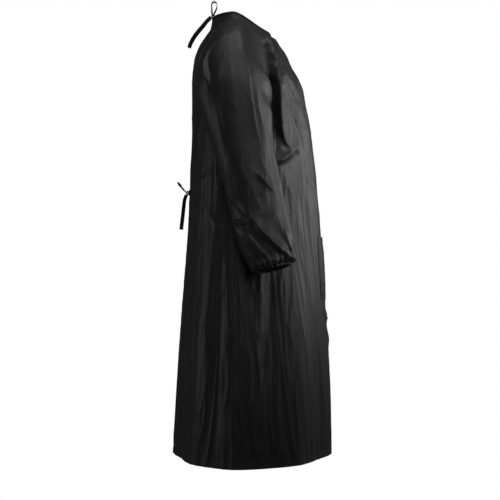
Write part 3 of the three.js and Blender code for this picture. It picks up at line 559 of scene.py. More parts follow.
def stitches(name, lines, pitch=3.6, length=2.7, radius=0.3):
    """Topstitching: short threads one after the other along lines of (points, normals) in millimetres."""
    sides, rings = 6, ((0.0, 0.35, -0.25), (0.16, 1.0, 0.12), (0.84, 1.0, 0.12), (1.0, 0.35, -0.25))
    vertices, faces = [], []
    for points, normals in lines:
        gaps = np.linalg.norm(np.diff(points, axis=0), axis=1)
        along = np.concatenate([[0], np.cumsum(gaps)])
        starts = np.arange(pitch / 2, along[-1] - length, pitch)
        at = [np.stack([np.interp(starts + s, along, points[:, k]) for k in range(3)], 1)
              for s in (0, length)]
        out = unit(np.stack([np.interp(starts + length / 2, along, normals[:, k]) for k in range(3)], 1))
        ahead = unit(at[1] - at[0])
        across = np.cross(ahead, out)
        for a, b, n, w in zip(at[0], at[1], out, across):
            first = len(vertices)
            for share, size, height in rings:
                for k in range(sides):
                    turn = 2 * math.pi * k / sides
                    vertices.append(a + (b - a) * share + n * (height + size * radius * math.sin(turn))
                                    + w * size * radius * math.cos(turn))
            for r in range(3):
                for k in range(sides):
                    i, j = first + r * sides + k, first + r * sides + (k + 1) % sides
                    faces.append((i, j, j + sides, i + sides))
            faces.append(tuple(first + k for k in reversed(range(sides))))
            faces.append(tuple(first + 3 * sides + k for k in range(sides)))
    data = bpy.data.meshes.new(name)
    data.from_pydata((np.array(vertices) * MM).tolist(), [], faces)
    mesh = bmesh.new()
    mesh.from_mesh(data)
    bmesh.ops.recalc_face_normals(mesh, faces=mesh.faces)
    bpy.data.meshes.remove(data)
    return finish_piece(mesh, name, thread)


cloth = coated_cloth_material()
thread = thread_material()
row_levels = np.concatenate([np.array([0, 6, 12, 18]) / BODY_HEIGHT,
                             np.linspace(28 / BODY_HEIGHT, 0.52, 42, endpoint=False),
                             np.linspace(0.52, 1, 84, endpoint=False), np.linspace(1, 1.985, 70)])
LOWER_ROWS = int(np.sum(row_levels < 1))


def body_panel(low_edge, high_edge, columns, lift):
    """Points and normals of a panel between two edge angles given for each row, and its turned-up hem."""
    share = np.linspace(0, 1, columns)
    angles = low_edge[:, None] + (high_edge - low_edge)[:, None] * share
    levels = row_levels[:, None] + 0 * angles
    points = body_cloth(angles, levels, lift(angles, levels))
    # the double-folded hem: up the inside, down to the fold and round it
    turned = []
    for inset, above in ((1.9, 19.0), (2.0, 13.0), (2.0, 7.0), (1.9, 2.0), (1.4, 0.3), (0.6, -0.2)):
        level = np.full(angles.shape[1], above / BODY_HEIGHT)
        place = body_cloth(angles[0], np.maximum(level, 0), lift(angles[0], level) - inset)
        turned.append(place + np.array([0, 0, min(above, 0)]))
    points = np.concatenate([np.array(turned), points])
    return points, grid_normals(points)


front_edge = np.where(row_levels > 1, front_raglan(row_levels - 1), 90)
front_reach = front_edge + degrees_for(2.5, front_edge, row_levels)


def front_lift(angles, levels):
    edge = np.where(levels > 1, front_raglan(levels - 1), 90)
    margin = degrees_for(5, edge, levels)
    return -0.9 * smooth((np.abs(angles) - edge + margin) / margin) * (levels > 1.0)


FRONT_COLUMNS = 232
front_points, front_normals = body_panel(-front_reach, front_reach, FRONT_COLUMNS, front_lift)
FOLD_ROWS = 6
hem_wear = np.concatenate([np.ones(FOLD_ROWS), np.exp(-row_levels * BODY_HEIGHT / 7)])[:, None]
front = cloth_sheet("front_panel_cloth", front_points, front_normals, cloth,
                    wear=hem_wear + np.zeros((1, FRONT_COLUMNS)))
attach(front, "torso")
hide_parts("front_panel")


def front_line(row_part, column_part):
    return front_points[row_part, column_part], front_normals[row_part, column_part]


hem_row = FOLD_ROWS + 3
side_top = FOLD_ROWS + LOWER_ROWS
front_stitches = stitches("front_panel_stitches", [
    front_line(hem_row, slice(2, -2)),
    front_line(slice(FOLD_ROWS, side_top), 5),
    front_line(slice(FOLD_ROWS, side_top), -6),
])
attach(front_stitches, "torso")

# ---- Back panels ------------------------------------------------------------
# Two panels of the same cloth, cut like the front; the right one laps over the
# left one at the centre back. Their free edges are turned in and topstitched.
def overlap_reach(level):
    """Degrees by which each back panel reaches past the centre back."""
    length = np.where(level > 1, 60 - 64 * smooth(level - 1), 60)
    return degrees_for(length, 180, level)


back_seam = 180 - np.where(row_levels > 1, back_raglan(row_levels - 1), 90)
back_tuck = degrees_for(2.5, back_seam, row_levels)
reach_past = overlap_reach(row_levels)


def back_lift(angles, levels, dips):
    """The back panels go a little under the front and the sleeves; the left one also dips under the right."""
    turn = np.where(angles > 180, 360 - angles, angles) if not dips else angles
    seam = 180 - np.where(levels > 1, back_raglan(levels - 1), 90)
    margin = degrees_for(5, seam, levels)
    lift = -0.9 * smooth((seam - turn + margin) / margin)
    if dips:
        edge = 180 - overlap_reach(levels)
        under = smooth((angles - edge + degrees_for(26, 180, levels)) / degrees_for(22, 180, levels))
        lift = lift - 2.3 * under
    else:
        # the outer free edge is a double turning, so it stands a little thicker, and lifts here and there
        past = 180 + 0 * levels - overlap_reach(levels)
        near = np.clip((angles - past) / degrees_for(20, 180, levels), 0, 1)
        lift = (lift + 0.7 * (1 - smooth(near))
                + 1.1 * (1 - smooth(near)) * (1 + np.sin(levels * 21)) * (levels < 1.6))
    return lift


BACK_COLUMNS = 128
left_points, left_normals = body_panel(back_seam - back_tuck, 180 + reach_past, BACK_COLUMNS,
                                       lambda a, l: back_lift(a, l, True))
right_points, right_normals = body_panel(180 - reach_past, 360 - back_seam + back_tuck, BACK_COLUMNS,
                                         lambda a, l: back_lift(a, l, False))
edge_wear = 0.8 * np.exp(-np.arange(BACK_COLUMNS) / 1.8)[None, :]
side_rows = slice(FOLD_ROWS, side_top)
whole_rows = slice(FOLD_ROWS, None)
for side_name, points, normals, seam_column, free_column, worn in (
        ("left", left_points, left_normals, 3, -7, hem_wear + edge_wear[:, ::-1]),
        ("right", right_points, right_normals, -4, 6, hem_wear + edge_wear)):
    panel = cloth_sheet(f"{side_name}_back_panel_cloth", points, normals, cloth, wear=worn)
    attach(panel, "torso")
    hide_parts(f"{side_name}_back_panel")
    thread_lines = [(points[hem_row, 2:-2], normals[hem_row, 2:-2]),
                    (points[whole_rows, free_column], normals[whole_rows, free_column]),
                    (points[side_rows, seam_column], normals[side_rows, seam_column])]
    panel_stitches = stitches(f"{side_name}_back_panel_stitches", thread_lines)
    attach(panel_stitches, "torso")

# ---- Sleeves ----------------------------------------------------------------
# Long raglan sleeves of the same cloth, each cut in one piece from the neck to the
# wrist. The seams to the body are topstitched, and the wrist is gathered.
top_x = profile([(0, 298), (0.25, 283), (0.5, 252), (0.68, 212), (0.84, 146), (1, 75)])
top_z = profile([(0, -216), (0.25, -158), (0.5, -101), (0.68, -66), (0.84, -33), (1, 0)])
top_y = profile([(0, 8), (0.3, 8), (0.7, 4), (1, -5)])
head_forward = profile([(0, 108), (0.15, 94), (0.3, 74), (0.6, 55), (0.85, 38), (1, 26)])
head_backward = profile([(0, 130), (0.3, 122), (0.6, 88), (0.85, 44), (1, 24)])
seam_reach = profile([(0, 1), (0.3, 0.8), (0.6, 0.6), (1, 0.8)])
leaving_out = profile([(0, 0), (0.3, 0.5), (0.6, 0.85), (1, 0.62)])
leaving_ahead = profile([(0, 1), (0.12, 0.84), (0.28, 0.36), (0.6, -0.05), (1, -0.7)])
leaving_behind = profile([(0, 1), (0.3, 0.78), (0.6, 0.25), (1, -0.7)])
leaving_up = profile([(0, 0), (0.3, 0.3), (0.6, 0.5), (1, 0.3)])
# height, distance out, front to back, half width, half depth, tip and lean of each ring round the arm
ARM_RINGS = [(-300, 239, 0, 60.5, 88, 32, 0.1), (-345, 242, -9, 60, 81, 20, 0.12),
             (-392, 245.5, -19, 59, 75, 13, 0.15), (-430, 249.5, -27, 58.5, 71.5, 10, 0.18),
             (-485, 256.5, -39.5, 58, 69, 9, 0.22), (-540, 264.5, -52, 57.3, 68.5, 8.6, 0.25),
             (-585, 271, -63, 56.8, 67.5, 8.5, 0.26), (-625, 277.5, -74, 56, 65.5, 8.4, 0.26),
             (-652, 281.5, -82, 54, 62, 8, 0.26), (-672, 284.5, -88, 50, 56, 7.5, 0.26),
             (-683, 286, -91, 40, 41, 6, 0.26)]
AROUND = 176
ROW = 3.2
PLEATS = 23


def arch(share, across):
    """The sleeve head over the shoulder: across runs from the front raglan seam to the back one."""
    share, across = np.meshgrid(share, across, indexing="ij")
    level = 1 + share
    halves = []
    for forward in (-1, 1):
        edge = front_raglan(share) if forward < 0 else 180 - back_raglan(share)
        foot = body_point(edge, level) + body_normal(edge, level) * seam_dent(edge, level)[..., None]
        away = leaving_ahead(share) if forward < 0 else leaving_behind(share)
        leaving = unit(np.stack([leaving_out(share), forward * away, leaving_up(share)], -1))
        top = np.stack([top_x(share), top_y(share), top_z(share)], -1)
        reach = (head_forward(share) if forward < 0 else head_backward(share))[..., None]
        t = np.clip(2 * across if forward < 0 else 2 - 2 * across, 0, 1)[..., None]
        foot_handle = foot + leaving * reach * seam_reach(share)[..., None]
        top_handle = top + np.array([0, forward, 0]) * reach
        halves.append((1 - t) ** 3 * foot + 3 * (1 - t) ** 2 * t * foot_handle
                      + 3 * (1 - t) * t ** 2 * top_handle + t ** 3 * top)
    place = np.where((across < 0.5)[..., None], halves[0], halves[1])
    front, back = front_raglan(share), 180 - back_raglan(share)
    on_body = body_point(front + (back - front) * across, level)
    settle = smooth((share - 0.78) / 0.18)[..., None]
    return place + (on_body - place) * settle


def arm_rings(turn):
    rings = []
    for z, x, y, wide, deep, tip, lean in ARM_RINGS:
        cosine, sine = np.cos(np.radians(turn)), np.sin(np.radians(turn))
        cosine = np.sign(cosine) * np.abs(cosine) ** 0.85
        rings.append(np.stack([x + wide * cosine, y - deep * sine, z + tip * cosine + lean * deep * sine],
                              -1))
    return np.array(rings)


def even_rows(rows, count):
    """Spreads the points of each row evenly along it."""
    out = []
    for row in rows:
        along = np.concatenate([[0], np.cumsum(np.linalg.norm(np.diff(row, axis=0), axis=1))])
        at = np.linspace(0, along[-1], count)
        out.append(np.stack([np.interp(at, along, row[:, k]) for k in range(3)], 1))
    return np.array(out)


def loft(stations, step):
    """Rows every step millimetres on a smooth surface through the stations."""
    gaps = np.linalg.norm(np.diff(stations, axis=0), axis=-1).mean(axis=1)
    t = np.concatenate([[0], np.cumsum(gaps)])
    slopes = np.gradient(stations, t, axis=0)
    at = np.linspace(0, t[-1], int(t[-1] / step))
    i = np.clip(np.searchsorted(t, at, side="right") - 1, 0, len(t) - 2)
    span = (t[i + 1] - t[i])[:, None, None]
    s = ((at - t[i]) / (t[i + 1] - t[i]))[:, None, None]
    return ((2 * s ** 3 - 3 * s ** 2 + 1) * stations[i] + (s ** 3 - 2 * s ** 2 + s) * span * slopes[i]
            + (3 * s ** 2 - 2 * s ** 3) * stations[i + 1] + (s ** 3 - s ** 2) * span * slopes[i + 1]), at, t


def pleat(around):
    """The gathers at the wrist, from -1 in a furrow to 1 on a crest, at a share of the way round."""
    wander = around + 0.006 * np.sin(2 * np.pi * 5 * around + 1) + 0.004 * np.sin(2 * np.pi * 9 * around)
    wave = np.cos(2 * np.pi * PLEATS * wander)
    return np.sign(wave) * np.abs(wave) ** 0.75 * (1 + 0.35 * np.sin(2 * np.pi * 3 * around + 2))


# Folds on the outer side of each sleeve, as lines of (y, z): the long edge down the front of the
# arm, the pulls at the bent elbow and the slack above the cuff.
SLEEVE_FOLDS = [
    ([(-20, -112), (-44, -210), (-57, -298), (-78, -366), (-92, -420), (-112, -504), (-140, -622)], 6, 7, 24),
    ([(-8, -100), (-24, -190), (-40, -300), (-58, -390)], 3, 5, 12),
    ([(-44, -447), (-72, -478), (-97, -502)], 6, 5, 9),
    ([(26, -492), (2, -530), (-30, -574)], 6, 9, 5),
    ([(8, -572), (-6, -577), (-24, -579)], 7, 4, 7),
    ([(-36, -567), (-60, -596), (-85, -623), (-120, -655), (-152, -684)], 11, 14, 6),
    ([(-2, -584), (-34, -618), (-63, -652), (-92, -682)], 5, 6, 4),
    ([(8, -590), (-18, -622), (-48, -664)], 4, 6, 4),
    ([(-114, -588), (-128, -628), (-142, -664)], 6, 8, 5),
    ([(34, -440), (22, -480), (12, -540)], 4, 9, 5),
    ([(-56, -500), (-60, -530), (-52, -562)], -3, 8, 8),
    ([(88, -143), (84, -180), (74, -232)], 8, 6, 10),
    ([(64, -120), (80, -170), (70, -240)], 6, 5, 9),
    ([(60, -250), (44, -320), (30, -400)], 4, 9, 14),
    ([(20, -130), (10, -220), (0, -330)], 2.5, 14, 20),
]
head_shares = np.concatenate([np.linspace(0.985, 0.72, 12), np.linspace(0.69, 0, 20)])
across = np.linspace(0, 1, 161)
cuff_axis = unit(np.array([0.15, -0.26, -1.0]))
cuff_out = unit(np.array([1.0, 0.0, 0.15]))
cuff_front = np.cross(cuff_axis, cuff_out)
cuff_top = np.array([286.0, -91.0, -683.0]) + 0.2 * cuff_axis


def cuff_place(around, radius, down, narrow=1.0):
    """A point of the cuff from its share of the way round, its distance from the axis and down it."""
    turn = np.pi - 2 * np.pi * around
    return (cuff_top + np.cos(turn)[..., None] * cuff_out * (radius * narrow)[..., None]
            + np.sin(turn)[..., None] * cuff_front * radius[..., None] + cuff_axis * down[..., None])


# the slack cloth sags over the gathered end and turns in under itself to the stitching
SLACK = [(58, -10, 0.9), (57, -4, 0.92), (54, 2.5, 0.94), (50, 5.5, 0.96), (46.5, 5, 0.98), (44.6, 2, 1)]
slack_rings = np.array([cuff_place(across, r + 0 * across, d + 0 * across, n) for r, d, n in SLACK])
stations = even_rows(np.concatenate([arch(head_shares, across), arm_rings(180 - 360 * across)[:-2],
                                     slack_rings]),
                     AROUND + 1)
plain_sleeve, row_at, station_at = loft(stations, ROW)
arch_row = int(np.searchsorted(row_at, station_at[len(head_shares) - 1]))
# ease the change from the open head to the closed arm
kernel = np.exp(-0.5 * (np.arange(-12, 13) / 5.0) ** 2)
kernel /= kernel.sum()
eased = np.array([(plain_sleeve[np.clip(np.arange(r - 12, r + 13), 0, len(plain_sleeve) - 1)]
                   * kernel[:, None, None]).sum(0) for r in range(len(plain_sleeve))])
rows_from_arch = (np.arange(len(plain_sleeve)) - arch_row)[:, None]
columns_from_seam = np.minimum(np.arange(AROUND + 1), AROUND - np.arange(AROUND + 1))[None, :]
ease = (smooth((24 - np.abs(rows_from_arch)) / 15)
        * np.where(rows_from_arch > 0, 1, smooth(columns_from_seam / 14)))[..., None]
plain_sleeve = plain_sleeve + (eased - plain_sleeve) * ease


def sleeve_cloth(mirror):
    """Points and normals of a whole draped sleeve, on the left side (+X), with this side's own creases."""
    # rows upwards, columns from the body side by the front, the outer side and the back
    base = plain_sleeve[::-1]
    normals = grid_normals(base)
    closed = slice(0, len(base) - 1 - arch_row)
    seam = unit(normals[closed, 0] + normals[closed, -1])
    normals[closed, 0], normals[closed, -1] = seam, seam
    shift = 0 if mirror < 0 else 11
    outside = smooth((normals[..., 0] + 0.25) / 0.6)
    relief = outside * ridges(base[..., 1] + 0.6 * shift, base[..., 2] + shift, SLEEVE_FOLDS)
    inside = smooth((0.2 - normals[..., 0]) / 0.6)
    relief += 0.7 * inside * ridges(base[..., 1] - 8, base[..., 2] - 15, SLEEVE_FOLDS)
    down = (row_at[-1] - row_at[::-1])[:, None] + 0 * relief
    low = smooth((base[..., 2] + 340) / -260)
    relief += (1.2 + 1.4 * low) * soft_noise(base, (46, 60, 140), 11 + shift)
    relief += (0.4 + 0.9 * low) * soft_noise(base, (26, 32, 110), 12 + shift, ridged=True)
    around = np.linspace(0, 1, AROUND + 1)[None, :]
    reach = 9 + 7 * np.sin(2 * np.pi * 4 * around + 0.6) ** 2
    gather = np.exp(-np.maximum(down - 9, 0) / reach) * (0.5 + 0.5 * smooth(down / 9))
    relief += 3.4 * gather * pleat(around)
    # held still at the cuff's stitching, at the raglan seams and at the neck edge
    relief *= 0.35 + 0.65 * smooth(down / 16)
    open_part = (np.arange(len(base)) >= len(base) - 1 - arch_row)[:, None]
    seam_gap = np.minimum(np.arange(AROUND + 1), AROUND - np.arange(AROUND + 1))[None, :]
    from_arch = np.clip((np.arange(len(base)) - (len(base) - 1 - arch_row))[:, None] / 13, 0, 1)
    held = 1 - (1 - smooth(seam_gap / 9)) * from_arch
    relief *= np.where(open_part, held, 1)
    to_neck = (np.arange(len(base))[::-1])[:, None] * ROW
    relief *= smooth(to_neck / 40)
    seam_groove = np.where(open_part, 0, -1.0 * np.exp(-(seam_gap / 1.4) ** 2))
    first, last = relief[:, 0].copy(), relief[:, -1].copy()
    for column in range(10):
        share = (1 - column / 10) * np.where(open_part[:, 0], 0, 1)
        relief[:, column] += 0.5 * (last - first) * share
        relief[:, -1 - column] += 0.5 * (first - last) * share
    points = base + normals * (relief + seam_groove + 0.25)[..., None]
    points[closed, -1] = points[closed, 0]
    out_normals = grid_normals(points)
    seam = unit(out_normals[closed, 0] + out_normals[closed, -1])
    out_normals[closed, 0], out_normals[closed, -1] = seam, seam
    return points, out_normals, open_part


def on_side(points, side):
    """Mirrors a grid made for the left side (+X) onto the wanted side, keeping its outside out."""
    placed = points * np.array([side, 1, 1])
    return placed if side > 0 else placed[:, ::-1]


for side_name, side in (("right", -1), ("left", 1)):
    points, normals, open_part = sleeve_cloth(side)
    split_row = int(np.argmin(np.abs(points[:, :, 2].mean(axis=1) + 411)))
    wear = np.exp(-(row_at[-1] - row_at[::-1]) / 9)[:, None] + 0 * points[..., 0]
    elbow = np.exp(-((points[..., 2] + 500) / 60) ** 2) * smooth((points[..., 1] + 10) / 50) * 0.5
    wear = wear + elbow
    parts = (("lower", slice(0, split_row + 1)), ("upper", slice(split_row, None)))
    for part_name, part_rows in parts:
        piece = cloth_sheet(f"{side_name}_{part_name}_sleeve_cloth", on_side(points[part_rows], side),
                            on_side(normals[part_rows], side), cloth, wear=wear[part_rows][:, ::side])
        if part_name == "upper":
            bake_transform(piece)
            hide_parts(f"{side_name}_sleeve_head", f"{side_name}_armhole_sleeve",
                        f"{side_name}_upper_sleeve")
        else:
            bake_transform(piece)
            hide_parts(f"{side_name}_elbow_sleeve", f"{side_name}_lower_sleeve")
    head_rows = slice(len(points) - arch_row, None)
    mirror = np.array([side, 1, 1])
    seam_stitches = stitches(f"{side_name}_raglan_stitches", [
        (points[head_rows, 2] * mirror, normals[head_rows, 2] * mirror),
        (points[head_rows, -3] * mirror, normals[head_rows, -3] * mirror)])
    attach(seam_stitches, "torso")

# ---- Cuffs ------------------------------------------------------------------
# Each sleeve end is turned in round a band of braided elastic and stitched down,
# so the cloth stands in small gathers above and below the stitching.
def elastic_material():
    """Braided elastic: off-white polyester over rubber, with fine ribs along the band."""
    material, tree = new_material("braided elastic")
    uv = add_node(tree, "ShaderNodeUVMap", uv_map="cloth")
    # ribs 0.8 mm apart across the band
    ribs = add_node(tree, "ShaderNodeTexWave", {"Scale": 390.0, "Distortion": 0.3}, {"Vector": uv.outputs[0]},
                    bands_direction="Y")
    tone = add_node(tree, "ShaderNodeValToRGB", links={"Fac": ribs.outputs["Fac"]})
    tone.color_ramp.elements[0].color = linear("B9B4A8")
    tone.color_ramp.elements[1].color = linear("E6E2DA")
    bump = add_node(tree, "ShaderNodeBump", {"Strength": 0.6, "Distance": 0.0003},
                    {"Height": ribs.outputs["Fac"]})
    shader = add_node(tree, "ShaderNodeBsdfPrincipled", {"Roughness": 0.85},
                      {"Base Color": tone.outputs["Color"], "Normal": bump.outputs["Normal"]})
    add_node(tree, "ShaderNodeOutputMaterial", links={"Surface": shader.outputs[0]})
    return material


elastic = elastic_material()
# the turned-in end, as radius and distance down: up the inner wall at the end, round the fold and up outside
CASING = [(36.2, 0.6), (36.1, 4), (36.3, 8), (37.2, 11), (38.6, 12.6), (40.2, 12.9), (41.6, 12.0), (42.2, 10),
          (42.3, 7), (42.2, 4), (42.1, 1.6), (41.6, 0.2)]
for side_name, side in (("right", -1), ("left", 1)):
    around = np.linspace(0, 1, 161)[:-1][None, :]
    radius = np.array([r for r, _ in CASING])[:, None]
    down = np.array([d for _, d in CASING])[:, None] + 0 * around
    inner_wall = np.array([1 if k < 4 else 0 for k in range(len(CASING))])[:, None]
    swell = np.where(inner_wall > 0, 0.5, 1.25) + 0.5 * smooth((down - 6) / 6)
    points = cuff_place(around + 0 * down,
                        radius + swell * pleat(around) * np.where(inner_wall > 0, 0.5, 1),
                        down + 0.5 * smooth((down - 8) / 4) * pleat(around + 0.01))
    casing = cloth_sheet(f"{side_name}_cuff_cloth", on_side(points, side),
                         on_side(grid_normals(points, True), side),
                         cloth, ring=True, wear=smooth((down - 8) / 5))
    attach(casing, f"{side_name}_forearm")
    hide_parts(f"{side_name}_cuff_casing")
    cuff_line = points[-3]
    closed_line = np.vstack([cuff_line, cuff_line[:1]]) * np.array([side, 1, 1])
    normals = unit(closed_line - (cuff_top * np.array([side, 1, 1])))
    cuff_stitches = stitches(f"{side_name}_cuff_stitches", [(closed_line, normals)], pitch=3.2, length=2.3)
    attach(cuff_stitches, f"{side_name}_forearm")
    band_down = np.array([10.6, 8.6, 6.6, 4.6, 2.6])[:, None] + 0 * around
    band = cuff_place(around + 0 * band_down,
                      39.75 + 0.25 * np.cos(2 * np.pi * PLEATS * around) + 0 * band_down, band_down)
    band_piece = cloth_sheet(f"{side_name}_cuff_band", on_side(band, side),
                             on_side(grid_normals(band, True), side),
                             elastic, ring=True, thick=1.1)
    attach(band_piece, f"{side_name}_forearm")
    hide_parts(f"{side_name}_cuff_elastic")

# ---- Front pocket -----------------------------------------------------------
# A patch pocket in the middle of the front, with round lower corners, a folded
# mouth and two rows of topstitching round its sides and bottom.
POCKET_TOP = -612
POCKET_DEPTH = 172
POCKET_HALF_WIDTH = 95
POCKET_HALF_ANGLE = 22
POCKET_CORNER = 26        # radius of the lower corners
pocket_rows, pocket_columns = 36, 58
share = np.concatenate([[1.0, 1.0, 1.0, 1.0], np.linspace(1, 0, pocket_rows)])[::-1][:, None]
inset = np.concatenate([np.zeros(pocket_rows), [0.9, 1.5, 1.6, 1.6]])[:, None]
sink = np.concatenate([np.zeros(pocket_rows), [-0.2, 2, 11, 19]])[:, None]
over = np.linspace(-1, 1, pocket_columns)[None, :]
pocket_z = POCKET_TOP - POCKET_DEPTH * (1 - share) - sink
drop = np.clip((POCKET_CORNER - POCKET_DEPTH * share) / POCKET_CORNER, 0, 1)
corner = 1 - (POCKET_CORNER / POCKET_HALF_WIDTH) * (1 - np.sqrt(np.clip(1 - drop ** 2, 0, 1)))
pocket_angle = over * POCKET_HALF_ANGLE * corner
pocket_level = (pocket_z - HEM_Z) / BODY_HEIGHT + 0 * pocket_angle
puff = (2.5 * np.sin(np.pi * np.clip(share, 0, 1)) + 2.5 * share ** 2) * (1 - over ** 2) ** 0.8
edge_gap = np.minimum((1 - np.abs(over)) * POCKET_HALF_WIDTH, POCKET_DEPTH * share + 0 * over)
fell = -0.5 * np.exp(-((edge_gap - 4) / 1.8) ** 2) - 0.5 * np.exp(-((edge_gap - 10) / 1.8) ** 2)
mouth_groove = -0.6 * np.exp(-((POCKET_DEPTH * (1 - share) - 19) / 2.5) ** 2)
pocket_points = body_cloth(pocket_angle, pocket_level, 1.4 + puff + fell + mouth_groove - inset)
pocket_normals = grid_normals(pocket_points)
pocket_wear = np.exp(-edge_gap / 5) + np.exp(-POCKET_DEPTH * (1 - share) / 6)
pocket = cloth_sheet("front_pocket_cloth", pocket_points, pocket_normals, cloth, wear=0.9 * pocket_wear)
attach(pocket, "torso")
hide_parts("front_pocket")


def pocket_ring(gap_columns, bottom_row):
    """A line down one side of the pocket, along its bottom and up the other side."""
    rows = list(range(pocket_rows - 1, bottom_row, -1))
    steps = ([(r, gap_columns) for r in rows]
             + [(bottom_row, c) for c in range(gap_columns, pocket_columns - gap_columns)]
             + [(r, pocket_columns - 1 - gap_columns) for r in rows[::-1]])
    r, c = np.array(steps).T
    return pocket_points[r, c], pocket_normals[r, c]


mouth_row = pocket_rows - 5
pocket_stitches = stitches("front_pocket_stitches", [
    pocket_ring(1, 1), pocket_ring(3, 2), (pocket_points[mouth_row, 1:-1], pocket_normals[mouth_row, 1:-1])],
    pitch=3.3, length=2.4)
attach(pocket_stitches, "torso")

# ---- Neck binding -----------------------------------------------------------
# A folded woven tape encloses the neck edge from one back corner to the other
# and is stitched through; its ends run on as the neck ties.
binding_gap = float(degrees_for(4, 180, 2.0))
path_angles = np.linspace(180 + binding_gap - 360, 180 - binding_gap, 200)
# round the tape's section: distance out of the cloth and down from the neck edge, in millimetres
SECTION = [(-1.6, 8.0), (-1.75, 5), (-1.7, 2.3), (-1.3, 0.3), (-0.4, -0.75), (0.5, -0.75), (1.2, 0.3),
           (1.35, 2.3), (1.4, 5), (1.15, 8.0)]
binding_rows = []
for out, below in SECTION:
    height = np.linalg.norm(body_point(path_angles, 2.0) - body_point(path_angles, 1.97), axis=-1) / 0.03
    level = 2.0 - np.maximum(below, 0) / height
    ripple = 0.25 * np.sin(path_angles * 0.9 + below) + 0.2 * np.sin(path_angles * 0.37)
    row = (body_point(path_angles, level)
           + body_normal(path_angles, level) * (out + ripple * (below > 1))[:, None])
    row[:, 2] -= min(below, 0)
    binding_rows.append(row)
binding_points = np.array(binding_rows)
tape_sheet = cloth_sheet("neck_binding_tape", binding_points, grid_normals(binding_points), tape_material,
                         thick=0.45)
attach(tape_sheet, "torso")
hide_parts("neck_binding")
binding_stitches = stitches("neck_binding_stitches",
                            [(binding_points[-2], grid_normals(binding_points)[-2])], pitch=3.0,
                            length=2.2)
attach(binding_stitches, "torso")

# ---- Knots and waist ties ---------------------------------------------------
# The bows' knots are tape wound over tape. Each waist tie is sewn to its back
# panel with a small box of stitches and runs over the cloth to the knot.
def wound_knot(name, centre, node):
    """A tied knot: two swollen folds of tape side by side with a third wound over their middle."""
    x, y, z = centre
    parts = []
    for side, lean in ((-1, 0.25), (1, -0.2)):
        route = [(x + side * 5.6, y + 1.5 * math.sin(t) + 2.2 * math.cos(t),
                  z + 4.6 * math.sin(t) + lean * side)
                 for t in np.linspace(-1.4, 4.4, 9)]
        parts.append(flat_tape(f"{name}_{side}", [tuple(c * MM for c in p) for p in route],
                               (1, 0, 0.1), (1, 0.1, 0), width=5.4 * MM, thick=2.6 * MM, count=40)[0])
    wrap = [(x + 0.7 * math.sin(2 * t), y + 4.2 * math.cos(t), z + 5.4 * math.sin(t))
            for t in np.linspace(-2.0, 4.6, 13)]
    parts.append(flat_tape(f"{name}_wrap", [tuple(c * MM for c in p) for p in wrap],
                           (1, 0, 0.2), (1, 0, -0.1), width=7.4 * MM, thick=1.5 * MM, count=56, curl=0.05)[0])
    mesh = bmesh.new()
    for part in parts:
        mesh.from_mesh(part.data)
        bpy.data.objects.remove(part)
    knot = finish_piece(mesh, f"{name}_knot_tape", tape_material)
    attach(knot, "torso")
    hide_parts(node)


wound_knot("neck", (0, 70, 2.1), "neck_knot")
waist_level = (-489 - HEM_Z) / BODY_HEIGHT
waist_back = float(body_point(180, waist_level)[1])
wound_knot("waist", (0, waist_back + 5.85, -489), "waist_knot")
for side_name, side in (("right", -1), ("left", 1)):
    along = np.linspace(0, 1, 60)[None, :] if side > 0 else np.linspace(1, 0, 60)[None, :]
    sewn, ends = degrees_for(100, 180, waist_level), degrees_for(7, 180, waist_level)
    angle = 180 - side * (sewn + (ends - sewn) * along)
    up = np.array([-5, -4.2, 0, 4.2, 5])[:, None] + 1.2 * np.sin(along * 5) * along
    level = waist_level + up / BODY_HEIGHT
    rise = 1.4 + 1.6 * np.sin(np.pi * along) ** 2 + np.array([-0.25, 0.1, 0.15, 0.1, -0.25])[:, None]
    dip = 0.9 * smooth((along - 0.72) / 0.2) if side < 0 else 1.6 * smooth((along - 0.3) / 0.2)
    tie_points = body_cloth(angle + 0 * up, level, rise + dip)
    tie = cloth_sheet(f"{side_name}_waist_tie_tape", tie_points, grid_normals(tie_points), tape_material,
                      thick=0.9)
    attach(tie, "torso")
    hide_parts(f"{side_name}_waist_tie")
    box = [3, 3, 7, 7, 3] if side > 0 else [56, 56, 52, 52, 56]
    corners = [tie_points[r, c] for r, c in zip((1, 3, 3, 1, 1), box)]
    box_line = np.array(through([tuple(c) for c in corners], 30)[0])
    outward = np.tile(grid_normals(tie_points)[2, box[0]], (30, 1))
    tie_stitches = stitches(f"{side_name}_waist_tie_stitches", [(box_line, outward)], pitch=2.8, length=2.0)
    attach(tie_stitches, "torso")

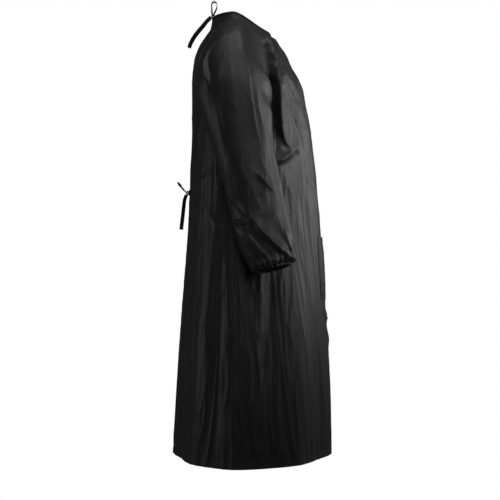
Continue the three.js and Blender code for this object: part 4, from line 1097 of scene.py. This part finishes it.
# ---- Floor and light --------------------------------------------------------
# A plain pale round sheet of backdrop paper under the smock, and five soft
# studio lights round it: a narrow key low in front on the wearer's right, a wide
# one in front on the left, one overhead, one high on the right and a weak one behind.
def paper_material():
    """Matt white backdrop paper with a very faint tooth."""
    material, tree = new_material("white backdrop paper")
    place = add_node(tree, "ShaderNodeTexCoord")
    tooth = add_node(tree, "ShaderNodeTexNoise", {"Scale": 240.0, "Detail": 2.0},
                     {"Vector": place.outputs["Object"]})
    bump = add_node(tree, "ShaderNodeBump", {"Strength": 0.05, "Distance": 0.0003},
                    {"Height": tooth.outputs["Fac"]})
    shader = add_node(tree, "ShaderNodeBsdfPrincipled", {"Base Color": linear("F4F4F4"), "Roughness": 0.9},
                      {"Normal": bump.outputs["Normal"]})
    add_node(tree, "ShaderNodeOutputMaterial", links={"Surface": shader.outputs[0]})
    return material


floor_mesh = bmesh.new()
bmesh.ops.create_circle(floor_mesh, cap_ends=True, segments=96, radius=0.84,
                        matrix=Matrix.Translation((0, 0, -1.545)))
floor = finish_piece(floor_mesh, "floor", paper_material())


def soft_light(name, place, target, size, power, spread):
    lamp = bpy.data.lights.new(name, "AREA")
    lamp.shape = "DISK"
    lamp.size = size
    lamp.energy = power
    lamp.spread = math.radians(spread)
    light = bpy.data.objects.new(name, lamp)
    light.location = place
    light.rotation_euler = (Vector(target) - Vector(place)).to_track_quat("-Z", "Y").to_euler()
    bpy.context.scene.collection.objects.link(light)


soft_light("key", (-1.0, -2.1, 0.25), (0, -0.05, 0.06), 1.0, 3.8, 56)
soft_light("front, behind the smock", (0.9, -2.3, 0.0), (0, -0.1, -0.3), 1.2, 4.3, 100)
soft_light("above", (-0.4, -0.3, 1.7), (0, 0, 0), 1.2, 3.6, 110)
soft_light("camera side, high", (-2.4, 0.0, 1.3), (0, 0, -0.2), 1.2, 2.4, 70)
soft_light("back", (-0.5, 2.4, -0.5), (0, 0, -0.5), 1.2, 1.9, 110)
world = bpy.data.worlds.new("studio")
world.use_nodes = True
world.node_tree.nodes.clear()
ray = add_node(world.node_tree, "ShaderNodeLightPath")
glow = add_node(world.node_tree, "ShaderNodeMix", links={"Factor": ray.outputs["Is Camera Ray"]},
                data_type="RGBA")
glow.inputs["A"].default_value = (0.036, 0.036, 0.037, 1)
glow.inputs["B"].default_value = (1, 1, 1, 1)
sky = add_node(world.node_tree, "ShaderNodeBackground", links={"Color": glow.outputs["Result"]})
add_node(world.node_tree, "ShaderNodeOutputWorld", links={"Surface": sky.outputs[0]})
bpy.context.scene.world = world
bpy.context.scene.view_settings.view_transform = "Standard"
